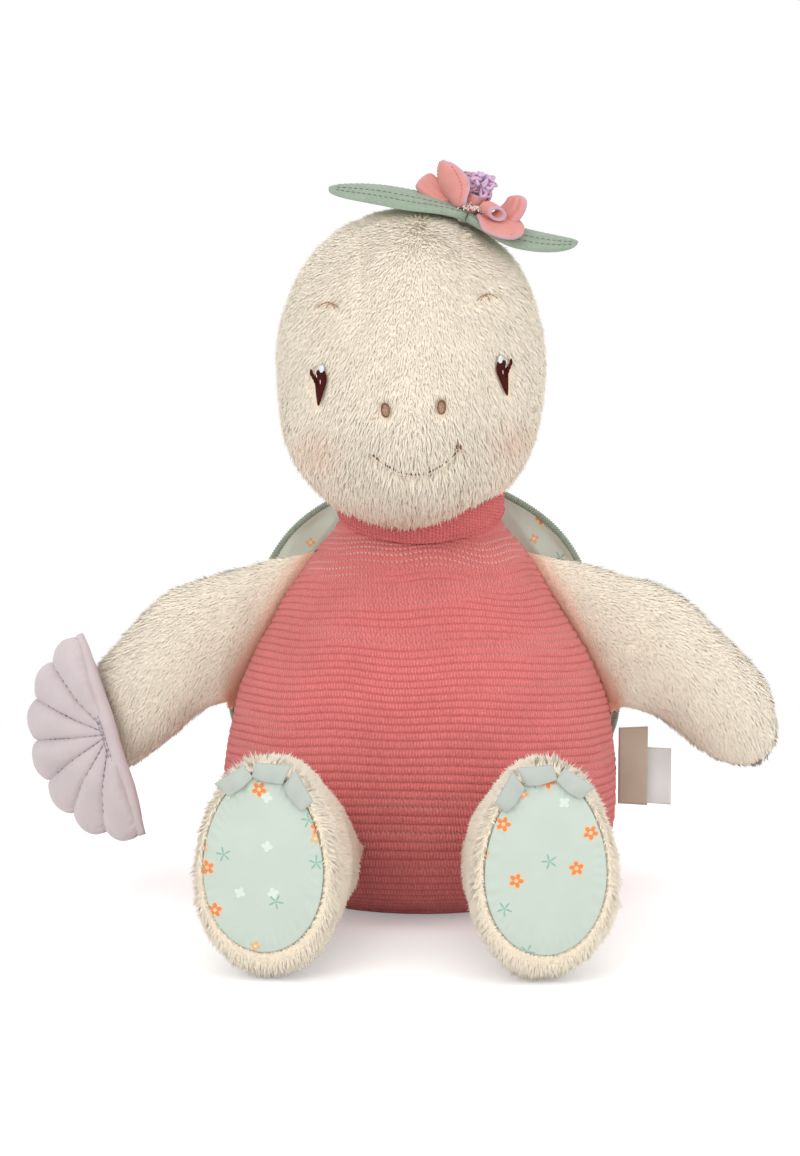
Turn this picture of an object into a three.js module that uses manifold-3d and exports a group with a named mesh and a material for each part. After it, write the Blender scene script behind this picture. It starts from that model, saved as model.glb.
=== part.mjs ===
// A seated stuffed turtle about 33 cm tall: fur head and limbs, a corduroy body, a padded
// satin carapace, a quilted fan shell sewn to one hand and a flower on the head.
// Units are millimetres. +Z is up, the toy faces -Y, the viewer's right is +X, and the
// origin is the middle of the flat seat. "Left" and "right" are the viewer's.

import * as THREE from 'three';
import { mergeVertices } from 'three/addons/utils/BufferGeometryUtils.js';
import Module from 'manifold-3d';

const wasm = await Module();
wasm.setup();

// Clearances and cloth thicknesses
const GAP = 0.4;
const CORDUROY = 2;
const FUR = 3;
const SATIN = 1.6;
const EMBROIDERY = 1.2;

// Body: a pear with a flat seat
const BODY_WIDTH = 175;
const BODY_DEPTH = 149;
const BODY_HEIGHT = 172;
const BODY_WIDEST_HEIGHT = 56;
const BODY_SQUARENESS = 3.5;
const SEAT_CUT = 0.5;
const BASE_PANEL_HEIGHT = 4;

// Neck: leans forward, with a ribbed collar round it
const NECK_WIDTH = 67;
const NECK_DEPTH = 66;
const NECK_LEAN_DEG = 15;
const NECK_FORWARD = 2;
const NECK_ROOT = 10;
const NECK_PLUG_DEPTH = 9;
const COLLAR_HEIGHT = 13;
const COLLAR_THICKNESS = 2.4;

// Head: a squarish egg, rolled a little, with a muzzle
const HEAD_WIDTH = 119;
const HEAD_DEPTH = 108;
const HEAD_HEIGHT = 138;
const CROWN_SQUARENESS = 2.1;
const CHIN_SQUARENESS = 2.4;
const HEAD_RISE = 64;
const HEAD_FORWARD = 12;
const HEAD_SHIFT = -4;
const HEAD_TURN_DEG = 3;
const GUSSET_WIDTH = 41;
const MUZZLE_BULGE = 13;
const MUZZLE_WIDTH = 30;
const MUZZLE_HEIGHT = 38;
const MUZZLE_DROP = 36;
const NOD_HEIGHT = 13;
const NOD_FORWARD_DEG = 8;
const NOD_BACK_DEG = 10;
const NOD_CLEARANCE = 0.8;

// Face: places are from the middle of the head, across and up
const FACE_ROLL_DEG = 3;
const EYE_ACROSS = 38.6;
const EYE_UP = -4;
const EYE_WIDTH = 4.4;
const EYE_HEIGHT = 15;
const LASH_LENGTH = 4.5;
const THREAD_WIDTH = 1.3;
const GLINT_WIDTH = 1.5;
const GLINT_HEIGHT = 5;
const BROW_ACROSS = 33.5;
const BROW_UP = 29;
const BROW_LENGTH = 9;
const NOSTRIL_ACROSS = 11.7;
const NOSTRIL_UP = -13.5;
const NOSTRIL_WIDTH = 3.6;
const NOSTRIL_HEIGHT = 5.6;
const MOUTH_WIDTH = 36;
const MOUTH_UP = -32;
const MOUTH_SAG = 9;
const DIMPLE = 5;

// Flower and leaves on the crown
const FLOWER_ACROSS = 23;
const FLOWER_FORWARD = 8;
const LEAF_THICKNESS = 2.4;
const LEAF_WIDTH = 26;
const LEFT_LEAF_LENGTH = 58;
const LEFT_LEAF_DROOP = 14;
const RIGHT_LEAF_LENGTH = 48;
const RIGHT_LEAF_LIFT = 9;
const PETAL_THICKNESS = 2.2;
const RIGHT_PETAL_LENGTH = 24;
const RIGHT_PETAL_WIDTH = 9;
const BACK_PETAL_LENGTH = 20;
const BACK_PETAL_WIDTH = 18;
const LEFT_PETAL_LENGTH = 19;
const LEFT_PETAL_WIDTH = 13;
const UPRIGHT_PETAL_LENGTH = 23;
const UPRIGHT_PETAL_WIDTH = 17;
const FRONT_PETAL_LENGTH = 17;
const FRONT_PETAL_WIDTH = 20;
const PETAL_RING = 7;
const PETAL_CUP = 0.8;
const BUD_DIAMETER = 10;
const BUD_HEIGHT = 9.5;
const BUD_WALL = 1.8;
const LOOP_DIAMETER = 7;
const LOOP_LENGTH = 6;
const LOOP_WALL = 1.5;
const LOOP_ACROSS = 9;
const LOOP_FORWARD = 9;
const POMPOM_WIDTH = 14;
const POMPOM_HEIGHT = 8;

// Arms: flippers sewn into the slanted side seams
const SHOULDER_HEIGHT = 118;
const SHOULDER_SINK = 0.85;
const ARM_ROOT_WIDTH = 72;
const ARM_WIDTH = 50;
const ARM_THICKNESS = 34;
const ARM_FORWARD = 10;
const ARM_WEDGE_DEG = 28;
const RIGHT_ARM_REACH = 79;
const RIGHT_ARM_DROP = 53;
const LEFT_ARM_REACH = 75;
const LEFT_ARM_DROP = 60;

// Fan shell sewn to the front of the left hand
const FAN_RADIUS = 47;
const FAN_LOBE_COUNT = 7;
const FAN_THICKNESS = 15;
const FAN_BASE_THICKNESS = 6;
const FAN_TURN_DEG = 32;
const FAN_TIP_DEG = 22;
const FAN_ARM_SHARE = 0.82;

// Legs: stuffed tubes with flat oval soles
const HIP_SPACING = 92;
const HIP_HEIGHT = 38;
const HIP_SINK = 1.35;
const LEG_LENGTH = 99;
const LEG_SPLAY_DEG = 6;
const LEG_WIDTH = 54;
const LEG_HEIGHT = 56;
const LEG_WEDGE_DEG = 40;
const FOOT_WIDTH = 62;
const FOOT_HEIGHT = 91;
const FOOT_EGG_SHARE = 0.1;
const FOOT_ROUNDING_SHARE = 0.14;
const SOLE_WIDTH = 48;
const SOLE_HEIGHT = 72;
const SOLE_RISE = 4;
const SOLE_RIM = 1.6;
const SOLE_THICKNESS = 2;
const TOE_WIDTH = 11;
const TOE_LENGTH = 8;
const TOE_THICKNESS = 1.6;
const TOE_ANGLES_DEG = [64, 97, 129];

// Carapace: a padded dome on the back, free round its rim
const CARAPACE_WIDTH = BODY_WIDTH - 3;
const CARAPACE_RISE = 100;
const CARAPACE_DROP = 77;
const CARAPACE_CENTRE = 84;
const CARAPACE_PADDING = 22;
const CARAPACE_EDGE = 5.6;
const CARAPACE_CLEAR = 1.8;
const CARAPACE_LOBE_COUNT = 8;
const CARAPACE_LOBE_SHARE = 0.012;
const RIM_SIDE = 27;
const RIM_TOP = 51;
const RIM_BOTTOM = 60;
const PIPING_DIAMETER = 5;

// Labels in the right side seam
const WOVEN_LABEL_WIDTH = 12;
const WOVEN_LABEL_HEIGHT = 34;
const CARE_LABEL_WIDTH = 24;
const CARE_LABEL_HEIGHT = 25;
const LABEL_HEIGHT = 59;
const LABEL_THICKNESS = 1;
const LABEL_SPACING = 3;
const CARE_LABEL_SLANT_DEG = 14;

// Facets round each form
const BODY_SIDES = 24;
const NECK_SIDES = 20;
const HEAD_SIDES = 22;
const HEAD_ROWS = 12;
const LIMB_SIDES = 14;
const FOOT_SIDES = 18;
const RIM_SIDES = 28;

const FINISHES = {
  creamFur: { color: 0xe7dbc8, roughness: 0.95 },
  pinkCorduroy: { color: 0xd8706e, roughness: 0.9 },
  pinkRib: { color: 0xc8605f, roughness: 0.9 },
  whiteFill: { color: 0xf0eee8, roughness: 1 },
  mintSatin: { color: 0xd0dbd0, roughness: 0.55 },
  sagePiping: { color: 0x929b8a, roughness: 0.8 },
  greyMintSatin: { color: 0xb9c4bf, roughness: 0.5 },
  lilacVelour: { color: 0xcabcba, roughness: 0.85 },
  pinkSatin: { color: 0xdf9891, roughness: 0.6 },
  lilacYarn: { color: 0xb08a9d, roughness: 0.9 },
  darkThread: { color: 0x42100a, roughness: 0.6 },
  brownThread: { color: 0x8a5a3c, roughness: 0.7 },
  paleThread: { color: 0xd5dde6, roughness: 0.6 },
  beigeRibbon: { color: 0xc4b6a4, roughness: 0.7 },
  whiteRibbon: { color: 0xe6e4e4, roughness: 0.6 },
};

const { PI, sin, cos, tan, sqrt, max, min, abs, sign, exp } = Math;
const rad = THREE.MathUtils.degToRad;
const { lerp, smoothstep } = THREE.MathUtils;
const Y_AXIS = new THREE.Vector3(0, 1, 0);
const Z_AXIS = new THREE.Vector3(0, 0, 1);

function at(x, y, z) {
  return new THREE.Vector3(x, y, z);
}

// A point offset from another one by a distance along each of some directions
function offset(point, ...steps) {
  const moved = point.clone();
  for (const [direction, distance] of steps) moved.addScaledVector(direction, distance);
  return moved;
}

// An indexed geometry, turned so that its faces point outwards
function closedGeometry(points, triangles) {
  let volume = 0;
  for (let i = 0; i < triangles.length; i += 3) {
    const [a, b, c] = triangles.slice(i, i + 3).map((index) => points[index]);
    volume += a.dot(b.clone().cross(c));
  }
  if (volume < 0) triangles.reverse();
  const geometry = new THREE.BufferGeometry();
  const coordinates = points.flatMap((p) => [p.x, p.y, p.z]);
  geometry.setAttribute('position', new THREE.Float32BufferAttribute(coordinates, 3));
  geometry.setIndex(triangles);
  return geometry;
}

// Rings of equally many points joined into a skin, with a fan over each end
function loft(rings) {
  const sides = rings[0].length;
  const points = rings.flat();
  const triangles = [];
  const corner = (row, column) => row * sides + (column % sides);
  for (let i = 0; i + 1 < rings.length; i++) {
    for (let j = 0; j < sides; j++) {
      const [a, b, c, d] = [corner(i, j), corner(i, j + 1), corner(i + 1, j + 1), corner(i + 1, j)];
      triangles.push(a, b, c, a, c, d);
    }
  }
  const last = rings.length - 1;
  const centres = [rings[0], rings[last]].map((ring) => {
    const middle = ring.reduce((sum, p) => sum.add(p), at(0, 0, 0)).divideScalar(sides);
    return points.push(middle) - 1;
  });
  for (let j = 0; j < sides; j++) {
    triangles.push(corner(0, j + 1), corner(0, j), centres[0]);
    triangles.push(corner(last, j), corner(last, j + 1), centres[1]);
  }
  return closedGeometry(points, triangles);
}

// Sections of equally many points joined into a closed loop
function loop(sections) {
  const sides = sections[0].length;
  const triangles = [];
  const corner = (i, j) => (i % sections.length) * sides + (j % sides);
  for (let i = 0; i < sections.length; i++) {
    for (let j = 0; j < sides; j++) {
      const [a, b, c, d] = [corner(i, j), corner(i, j + 1), corner(i + 1, j + 1), corner(i + 1, j)];
      triangles.push(a, b, c, a, c, d);
    }
  }
  return closedGeometry(sections.flat(), triangles);
}

// Two grids of points, one above the other, closed round their border
function plate(upper, lower) {
  const rows = upper.length;
  const columns = upper[0].length;
  const under = rows * columns;
  const corner = (row, column) => row * columns + column;
  const triangles = [];
  for (let i = 0; i + 1 < rows; i++) {
    for (let j = 0; j + 1 < columns; j++) {
      const [a, b, c, d] = [corner(i, j), corner(i, j + 1), corner(i + 1, j + 1), corner(i + 1, j)];
      triangles.push(a, b, c, a, c, d);
      triangles.push(c + under, b + under, a + under, d + under, c + under, a + under);
    }
  }
  const border = [];
  for (let j = 0; j + 1 < columns; j++) border.push(corner(0, j));
  for (let i = 0; i + 1 < rows; i++) border.push(corner(i, columns - 1));
  for (let j = columns - 1; j > 0; j--) border.push(corner(rows - 1, j));
  for (let i = rows - 1; i > 0; i--) border.push(corner(i, 0));
  border.forEach((p, i) => {
    const q = border[(i + 1) % border.length];
    triangles.push(q, p, p + under, q, p + under, q + under);
  });
  return closedGeometry([...upper.flat(), ...lower.flat()], triangles);
}

// Two stacks of concentric rings, one above the other, closed at the middle and round the rim
function dish(upper, lower, upperMiddle, lowerMiddle) {
  const sides = upper[0].length;
  const under = upper.length * sides;
  const points = [...upper.flat(), ...lower.flat(), upperMiddle, lowerMiddle];
  const [top, bottom] = [2 * under, 2 * under + 1];
  const corner = (row, column) => row * sides + (column % sides);
  const triangles = [];
  const rim = upper.length - 1;
  for (let j = 0; j < sides; j++) {
    for (let i = 0; i < rim; i++) {
      const [a, b, c, d] = [corner(i, j), corner(i, j + 1), corner(i + 1, j + 1), corner(i + 1, j)];
      triangles.push(c, b, a, d, c, a);
      triangles.push(a + under, b + under, c + under, a + under, c + under, d + under);
    }
    const [p, q] = [corner(0, j), corner(0, j + 1)];
    triangles.push(top, p, q, bottom, q + under, p + under);
    const [r, s] = [corner(rim, j), corner(rim, j + 1)];
    triangles.push(s, r, r + under, s, r + under, s + under);
  }
  return closedGeometry(points, triangles);
}

// A closed geometry as a solid that can be joined and cut
function solid(geometry) {
  const bare = geometry.clone();
  bare.deleteAttribute('normal');
  bare.deleteAttribute('uv');
  const merged = mergeVertices(bare, 1e-4);
  const kept = [];
  const index = merged.index.array;
  for (let i = 0; i < index.length; i += 3) {
    const [a, b, c] = index.slice(i, i + 3);
    if (a !== b && b !== c && c !== a) kept.push(a, b, c);
  }
  const vertProperties = new Float32Array(merged.attributes.position.array);
  return new wasm.Manifold(new wasm.Mesh({ numProp: 3, vertProperties, triVerts: new Uint32Array(kept) }));
}

// A joined or cut solid as a geometry again
function geometryOf(body) {
  const mesh = body.getMesh();
  const geometry = new THREE.BufferGeometry();
  geometry.setAttribute('position', new THREE.BufferAttribute(mesh.vertProperties, 3));
  geometry.setIndex(new THREE.BufferAttribute(mesh.triVerts, 1));
  return geometry;
}

// A box from its lowest and highest corner
function box(low, high) {
  const size = high.clone().sub(low);
  const middle = low.clone().add(high).multiplyScalar(0.5);
  return solid(new THREE.BoxGeometry(size.x, size.y, size.z).translate(middle.x, middle.y, middle.z));
}

// A long wedge whose sharp edge lies on a hinge line and which opens outwards
function wedge(edge, along, out, halfAngle) {
  const far = 4 * ARM_ROOT_WIDTH;
  const side = along.clone().cross(out).normalize();
  const spread = far * tan(rad(halfAngle));
  const points = [-far, far].flatMap((run) => [
    offset(edge, [along, run]),
    offset(edge, [along, run], [out, far], [side, spread]),
    offset(edge, [along, run], [out, far], [side, -spread]),
  ]);
  const triangles = [0, 1, 2, 3, 5, 4, 0, 3, 4, 0, 4, 1, 1, 4, 5, 1, 5, 2, 2, 5, 3, 2, 3, 0];
  return solid(closedGeometry(points, triangles));
}

// One named sub-part with a material of its own
function addPiece(parent, name, shape, finish) {
  const geometry = shape.isBufferGeometry ? shape : geometryOf(shape);
  const material = new THREE.MeshStandardMaterial({ ...FINISHES[finish], metalness: 0 });
  const mesh = new THREE.Mesh(geometry, material);
  mesh.name = name;
  parent.add(mesh);
  return mesh;
}

// An oval ring of points in the plane of two directions
function oval(middle, across, up, halfWidth, halfHeight, sides, egg = 0) {
  return Array.from({ length: sides }, (_, k) => {
    const angle = (2 * PI * k) / sides;
    const width = halfWidth * (1 - egg * sin(angle));
    return offset(middle, [across, width * cos(angle)], [up, halfHeight * sin(angle)]);
  });
}

// Half the body's width at a height: a squared-off round below the widest height, and a
// cosine taper to the neck above it
function bodyHalfWidth(height) {
  const half = BODY_WIDTH / 2;
  if (height > BODY_WIDEST_HEIGHT) {
    const share = min((height - BODY_WIDEST_HEIGHT) / (BODY_HEIGHT - BODY_WIDEST_HEIGHT), 1);
    return lerp(half, NECK_WIDTH / 2, 1 - cos((PI / 2) * share));
  }
  const share = min((BODY_WIDEST_HEIGHT - height) / (BODY_WIDEST_HEIGHT + SEAT_CUT), 1);
  return half * (1 - share ** BODY_SQUARENESS) ** (1 / BODY_SQUARENESS);
}

const BODY_RATIO = BODY_DEPTH / BODY_WIDTH;

// How far the body's back reaches at a place across and up
function bodyBack(across, height) {
  const half = bodyHalfWidth(height);
  return BODY_RATIO * sqrt(max(0, half ** 2 - across ** 2));
}

// The pear without its neck, drawn in by an inset square to its profile
function pear(inset) {
  const profile = [];
  const lowerRows = 6;
  const upperRows = 7;
  const half = BODY_WIDTH / 2;
  const power = 2 / BODY_SQUARENESS;
  for (let k = 1; k <= lowerRows; k++) {
    const angle = (PI / 2) * (k / lowerRows) ** 1.2;
    const height = BODY_WIDEST_HEIGHT - (BODY_WIDEST_HEIGHT + SEAT_CUT) * cos(angle) ** power;
    profile.push([half * sin(angle) ** power, height]);
  }
  for (let k = 1; k <= upperRows; k++) {
    const height = lerp(BODY_WIDEST_HEIGHT, BODY_HEIGHT, k / upperRows);
    profile.push([bodyHalfWidth(height), height]);
  }
  const rings = profile.map(([radius, height], k) => {
    const [before, after] = [profile[max(k - 1, 0)], profile[min(k + 1, profile.length - 1)]];
    const normal = new THREE.Vector2(after[1] - before[1], before[0] - after[0]).normalize();
    const middle = at(0, 0, height - inset * normal.y);
    const draw = inset * normal.x;
    return oval(middle, at(1, 0, 0), Y_AXIS, radius - draw, radius * BODY_RATIO - draw, BODY_SIDES);
  });
  return solid(loft(rings));
}

const neckPlace = new THREE.Matrix4()
  .makeRotationX(rad(NECK_LEAN_DEG))
  .setPosition(0, -NECK_FORWARD, BODY_HEIGHT);

// An oval drum round the neck's axis, from one height along it to another
function neckDrum(inset, low, high) {
  const ring = (height) => oval(at(0, 0, height), at(1, 0, 0), Y_AXIS,
    NECK_WIDTH / 2 - inset, NECK_DEPTH / 2 - inset, NECK_SIDES);
  return solid(loft([ring(low), ring(high)]).applyMatrix4(neckPlace));
}

function addBody(parent) {
  const reach = 2 * BODY_WIDTH;
  const seamUnderCollar = COLLAR_HEIGHT / 2;
  const outside = pear(0).add(neckDrum(0, -NECK_ROOT, seamUnderCollar));
  const inside = pear(CORDUROY).add(neckDrum(CORDUROY, -NECK_ROOT, COLLAR_HEIGHT));
  const aboveFloor = box(at(-reach, -reach, 0), at(reach, reach, reach));
  const skin = outside.subtract(inside).intersect(aboveFloor);
  const panelFoot = BASE_PANEL_HEIGHT + GAP;
  const front = box(at(-reach, -reach, panelFoot), at(reach, -GAP / 2, reach));
  const back = box(at(-reach, GAP / 2, panelFoot), at(reach, reach, reach));
  const base = box(at(-reach, -reach, -reach), at(reach, reach, BASE_PANEL_HEIGHT));
  addPiece(parent, 'body_front_panel', skin.intersect(front), 'pinkCorduroy');
  addPiece(parent, 'body_back_panel', skin.intersect(back), 'pinkCorduroy');
  addPiece(parent, 'body_base_panel', skin.intersect(base), 'pinkCorduroy');
  const plugRoom = neckDrum(0, -NECK_PLUG_DEPTH - GAP, reach);
  addPiece(parent, 'body_stuffing', pear(CORDUROY + GAP).subtract(plugRoom), 'whiteFill');
}

// The ribbed band stands round the neck and is cut where the shoulders rise into it
function addCollar(parent) {
  const sections = Array.from({ length: NECK_SIDES }, (_, k) => {
    const angle = (2 * PI * k) / NECK_SIDES;
    const out = at(cos(angle), sin(angle), 0);
    const seat = at((NECK_WIDTH / 2 + GAP) * out.x, (NECK_DEPTH / 2 + GAP) * out.y, 0);
    return [
      seat,
      offset(seat, [out, COLLAR_THICKNESS]),
      offset(seat, [out, COLLAR_THICKNESS], [Z_AXIS, COLLAR_HEIGHT]),
      offset(seat, [Z_AXIS, COLLAR_HEIGHT]),
    ];
  });
  const band = solid(loop(sections).applyMatrix4(neckPlace));
  addPiece(parent, 'neck_collar', band.subtract(pear(-GAP)), 'pinkRib');
}

// The filling that runs through the collar, round so that it can turn there
function addNeckStuffing(parent) {
  const plug = neckDrum(CORDUROY + 2 * GAP, -NECK_PLUG_DEPTH, COLLAR_HEIGHT);
  addPiece(parent, 'neck_stuffing', plug, 'whiteFill');
}

// The carapace's padded sheet, in shares of the way out to its rim and round it
function carapacePoint(share, angle, layer) {
  const lobe = 1 + CARAPACE_LOBE_SHARE * cos(CARAPACE_LOBE_COUNT * angle) * share ** 2;
  const across = (CARAPACE_WIDTH / 2) * cos(angle) * share * lobe;
  const reach = sin(angle) > 0 ? CARAPACE_RISE : CARAPACE_DROP;
  const height = CARAPACE_CENTRE + reach * sin(angle) * share * lobe;
  const rimGoal = sin(angle) > 0 ? RIM_TOP : RIM_BOTTOM;
  const rim = lerp(RIM_SIDE, rimGoal, sin(angle) ** 2);
  const back = bodyBack(across, height);
  const lift = rim - back;
  const softLift = (lift + sqrt(lift ** 2 + 16)) / 2;
  const inner = back + CARAPACE_CLEAR + smoothstep(share, 0.35, 1) * softLift;
  const padding = lerp(CARAPACE_PADDING, CARAPACE_EDGE, share ** 2.4);
  return at(across, inner + layer(padding), height);
}

// One layer of the sheet, out to one of its rows of facets
function carapaceLayer(near, far, rows) {
  const shares = [0.17, 0.34, 0.5, 0.66, 0.82, 0.94, 1].slice(0, rows);
  const rings = (layer) => shares.map((share) =>
    Array.from({ length: RIM_SIDES }, (_, j) =>
      carapacePoint(share, (2 * PI * j) / RIM_SIDES, layer)));
  return dish(rings(near), rings(far), carapacePoint(0, 0, near), carapacePoint(0, 0, far));
}

function addCarapace(parent) {
  const cloth = (from) => (padding) => from(padding);
  const lining = carapaceLayer(cloth(() => 0), cloth(() => SATIN), 7);
  const wadding = carapaceLayer(cloth(() => SATIN + GAP), cloth((p) => p - SATIN - GAP), 6);
  const cover = carapaceLayer(cloth((p) => p - SATIN), cloth((p) => p), 7);
  addPiece(parent, 'carapace_lining', lining, 'mintSatin');
  addPiece(parent, 'carapace_wadding', wadding, 'whiteFill');
  addPiece(parent, 'carapace_cover', cover, 'mintSatin');
  const radius = PIPING_DIAMETER / 2;
  const steps = RIM_SIDES * 1.5;
  const middle = (padding) => padding / 2;
  const sections = Array.from({ length: steps }, (_, i) => {
    const angle = (2 * PI * i) / steps;
    const rim = carapacePoint(1, angle, middle);
    const ahead = carapacePoint(1, angle + PI / steps, middle);
    const behind = carapacePoint(1, angle - PI / steps, middle);
    const run = ahead.sub(behind).normalize();
    const out = run.clone().cross(Y_AXIS).negate().normalize();
    const up = run.clone().cross(out).normalize();
    return oval(offset(rim, [out, radius + GAP]), out, up, radius, radius, 5);
  });
  addPiece(parent, 'carapace_piping', loop(sections), 'sagePiping');
}

// Two flat cloth labels in the right side seam, hanging free beyond it
function addLabels(parent) {
  const seam = BODY_WIDTH / 2 + GAP;
  const label = (width, height) => new THREE.BoxGeometry(width, LABEL_THICKNESS, height)
    .translate(width / 2, 0, 0);
  const woven = addPiece(parent, 'label_woven', label(WOVEN_LABEL_WIDTH, WOVEN_LABEL_HEIGHT), 'beigeRibbon');
  woven.position.set(seam, 0, LABEL_HEIGHT);
  const care = addPiece(parent, 'label_care', label(CARE_LABEL_WIDTH, CARE_LABEL_HEIGHT), 'whiteRibbon');
  care.position.set(seam, LABEL_SPACING, LABEL_HEIGHT - (WOVEN_LABEL_HEIGHT - CARE_LABEL_HEIGHT) / 2);
  care.rotation.z = rad(CARE_LABEL_SLANT_DEG);
}

// The head's surface height over its middle, at a distance across and forward
function crownHeight(across, forward) {
  const share = min(Math.hypot(across / (HEAD_WIDTH / 2), forward / (HEAD_DEPTH / 2)), 1);
  return (HEAD_HEIGHT / 2) * (1 - share ** CROWN_SQUARENESS) ** (1 / CROWN_SQUARENESS);
}

// The squarish egg with its muzzle, in the head's own frame, grown by a margin
function headForm(margin) {
  const rings = [];
  for (let i = 1; i < HEAD_ROWS; i++) {
    const down = (PI * i) / HEAD_ROWS;
    const power = 2 / (down < PI / 2 ? CROWN_SQUARENESS : CHIN_SQUARENESS);
    const width = sin(down) ** power;
    const height = (HEAD_HEIGHT / 2 + margin) * sign(cos(down)) * abs(cos(down)) ** power;
    rings.push(Array.from({ length: HEAD_SIDES }, (_, j) => {
      const round = (2 * PI * j) / HEAD_SIDES;
      const x = (HEAD_WIDTH / 2 + margin) * width * cos(round);
      const y = (HEAD_DEPTH / 2 + margin) * width * sin(round);
      const fade = exp(-((x / MUZZLE_WIDTH) ** 2) - ((height + MUZZLE_DROP) / MUZZLE_HEIGHT) ** 2);
      return at(x, y + MUZZLE_BULGE * fade * min(0, sin(round)), height);
    }));
  }
  return solid(loft(rings));
}

const headPlace = new THREE.Matrix4()
  .makeRotationZ(rad(HEAD_TURN_DEG))
  .setPosition(HEAD_SHIFT, -NECK_FORWARD - HEAD_FORWARD, BODY_HEIGHT + HEAD_RISE);
const nodPivot = at(0, 0, NOD_HEIGHT).applyMatrix4(neckPlace);

// The room that the collar and shoulders need under the head at every nod, in the head's frame
function neckRelief() {
  const cloth = GAP + COLLAR_THICKNESS + NOD_CLEARANCE;
  const spread = BODY_WIDTH / 2;
  const ring = (height, grown) => oval(at(0, 0, height), at(1, 0, 0), Y_AXIS,
    NECK_WIDTH / 2 + cloth + grown, NECK_DEPTH / 2 + cloth + grown, HEAD_SIDES);
  const base = loft([ring(-spread, spread), ring(0, 0), ring(COLLAR_HEIGHT + NOD_CLEARANCE, 0)]);
  const toHead = headPlace.clone().invert();
  const nods = [NOD_FORWARD_DEG, 0, -NOD_BACK_DEG];
  return nods.map((nod) => {
    const turned = base.clone().applyMatrix4(neckPlace)
      .translate(-nodPivot.x, -nodPivot.y, -nodPivot.z)
      .rotateX(-rad(nod)).translate(nodPivot.x, nodPivot.y, nodPivot.z);
    return solid(turned.applyMatrix4(toHead));
  }).reduce((sum, part) => sum.add(part));
}

function addHead(parent) {
  const relief = neckRelief();
  const far = HEAD_HEIGHT;
  const seam = GUSSET_WIDTH / 2;
  const skin = headForm(0).subtract(headForm(-FUR)).subtract(relief);
  const strip = (low, high) => box(at(low, -far, -far), at(high, far, far));
  addPiece(parent, 'head_gusset', skin.intersect(strip(-seam, seam)), 'creamFur');
  addPiece(parent, 'head_side_left', skin.intersect(strip(-far, -seam - GAP)), 'creamFur');
  addPiece(parent, 'head_side_right', skin.intersect(strip(seam + GAP, far)), 'creamFur');
  addPiece(parent, 'head_stuffing', headForm(-FUR - GAP).subtract(relief), 'whiteFill');
}

// An outline on the face as a prism through its front
function facePrism(points) {
  const outline = new THREE.Shape(points.map(([across, up]) => new THREE.Vector2(across, up)));
  const depth = HEAD_DEPTH;
  return solid(new THREE.ExtrudeGeometry(outline, { depth, bevelEnabled: false })
    .rotateX(PI / 2).rotateY(-rad(FACE_ROLL_DEG)));
}

// The points of a thread stroke of even width along a run of points, with blunt ends
function stroke(points, width) {
  const edges = points.map(([x, y], i) => {
    const [before, after] = [points[max(i - 1, 0)], points[min(i + 1, points.length - 1)]];
    const normal = new THREE.Vector2(before[1] - after[1], after[0] - before[0]).normalize();
    const half = width / 2;
    return [[x + normal.x * half, y + normal.y * half], [x - normal.x * half, y - normal.y * half]];
  });
  return [...edges.map(([left]) => left), ...edges.map(([, right]) => right).reverse()];
}

function ovalOutline(across, up, width, height, sides = 14) {
  return Array.from({ length: sides }, (_, k) => {
    const angle = (2 * PI * k) / sides;
    return [across + (width / 2) * cos(angle), up + (height / 2) * sin(angle)];
  });
}

function arcPoints(across, up, width, rise, count) {
  return Array.from({ length: count }, (_, k) => {
    const share = (2 * k) / (count - 1) - 1;
    return [across + (width / 2) * share, up + rise * (1 - share ** 2)];
  });
}

// Embroidery: raised patches of thread that follow the head's surface
function addFace(parent) {
  const thread = headForm(GAP + EMBROIDERY).subtract(headForm(GAP));
  const patch = (name, outlines, finish, cut) => {
    let shape = outlines.map(facePrism).reduce((sum, part) => sum.add(part)).intersect(thread);
    if (cut) shape = shape.subtract(facePrism(cut));
    addPiece(parent, name, shape, finish);
  };
  for (const [word, side] of [['left', -1], ['right', 1]]) {
    const eye = side * EYE_ACROSS;
    const top = EYE_UP + EYE_HEIGHT / 2;
    const lashes = [0.62, 1].map((share) => stroke([
      [eye + side * THREAD_WIDTH * 0.4, top - EYE_HEIGHT * 0.22 * share - 1],
      [eye + side * LASH_LENGTH * 0.62, top - EYE_HEIGHT * 0.1 * share + LASH_LENGTH * 0.1],
      [eye + side * LASH_LENGTH, top + LASH_LENGTH * (1.1 - 0.75 * share)],
    ], THREAD_WIDTH));
    const glintAcross = eye - (EYE_WIDTH - GLINT_WIDTH) / 4;
    const glintUp = top - EYE_HEIGHT * 0.28;
    const glint = ovalOutline(glintAcross, glintUp, GLINT_WIDTH, GLINT_HEIGHT, 8);
    const socket = ovalOutline(glintAcross, glintUp, GLINT_WIDTH + 2 * GAP, GLINT_HEIGHT + 2 * GAP, 8);
    patch(`eye_${word}`, [ovalOutline(eye, EYE_UP, EYE_WIDTH, EYE_HEIGHT), ...lashes], 'darkThread', socket);
    patch(`eye_glint_${word}`, [glint], 'paleThread');
    const brow = stroke(arcPoints(side * BROW_ACROSS, BROW_UP, BROW_LENGTH, BROW_LENGTH / 4, 6), THREAD_WIDTH);
    patch(`brow_${word}`, [brow], 'brownThread');
    const nostril = ovalOutline(side * NOSTRIL_ACROSS, NOSTRIL_UP, NOSTRIL_WIDTH, NOSTRIL_HEIGHT, 10);
    patch(`nostril_${word}`, [nostril], 'brownThread');
  }
  const smile = arcPoints(0, MOUTH_UP, MOUTH_WIDTH, -MOUTH_SAG, 11);
  const end = smile[smile.length - 1];
  const dimple = stroke([
    [end[0] - DIMPLE / 2, end[1] + DIMPLE / 2],
    [end[0] + DIMPLE / 2, end[1] - DIMPLE / 8],
  ], THREAD_WIDTH);
  patch('mouth', [stroke(smile, THREAD_WIDTH), dimple], 'brownThread');
}

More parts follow.
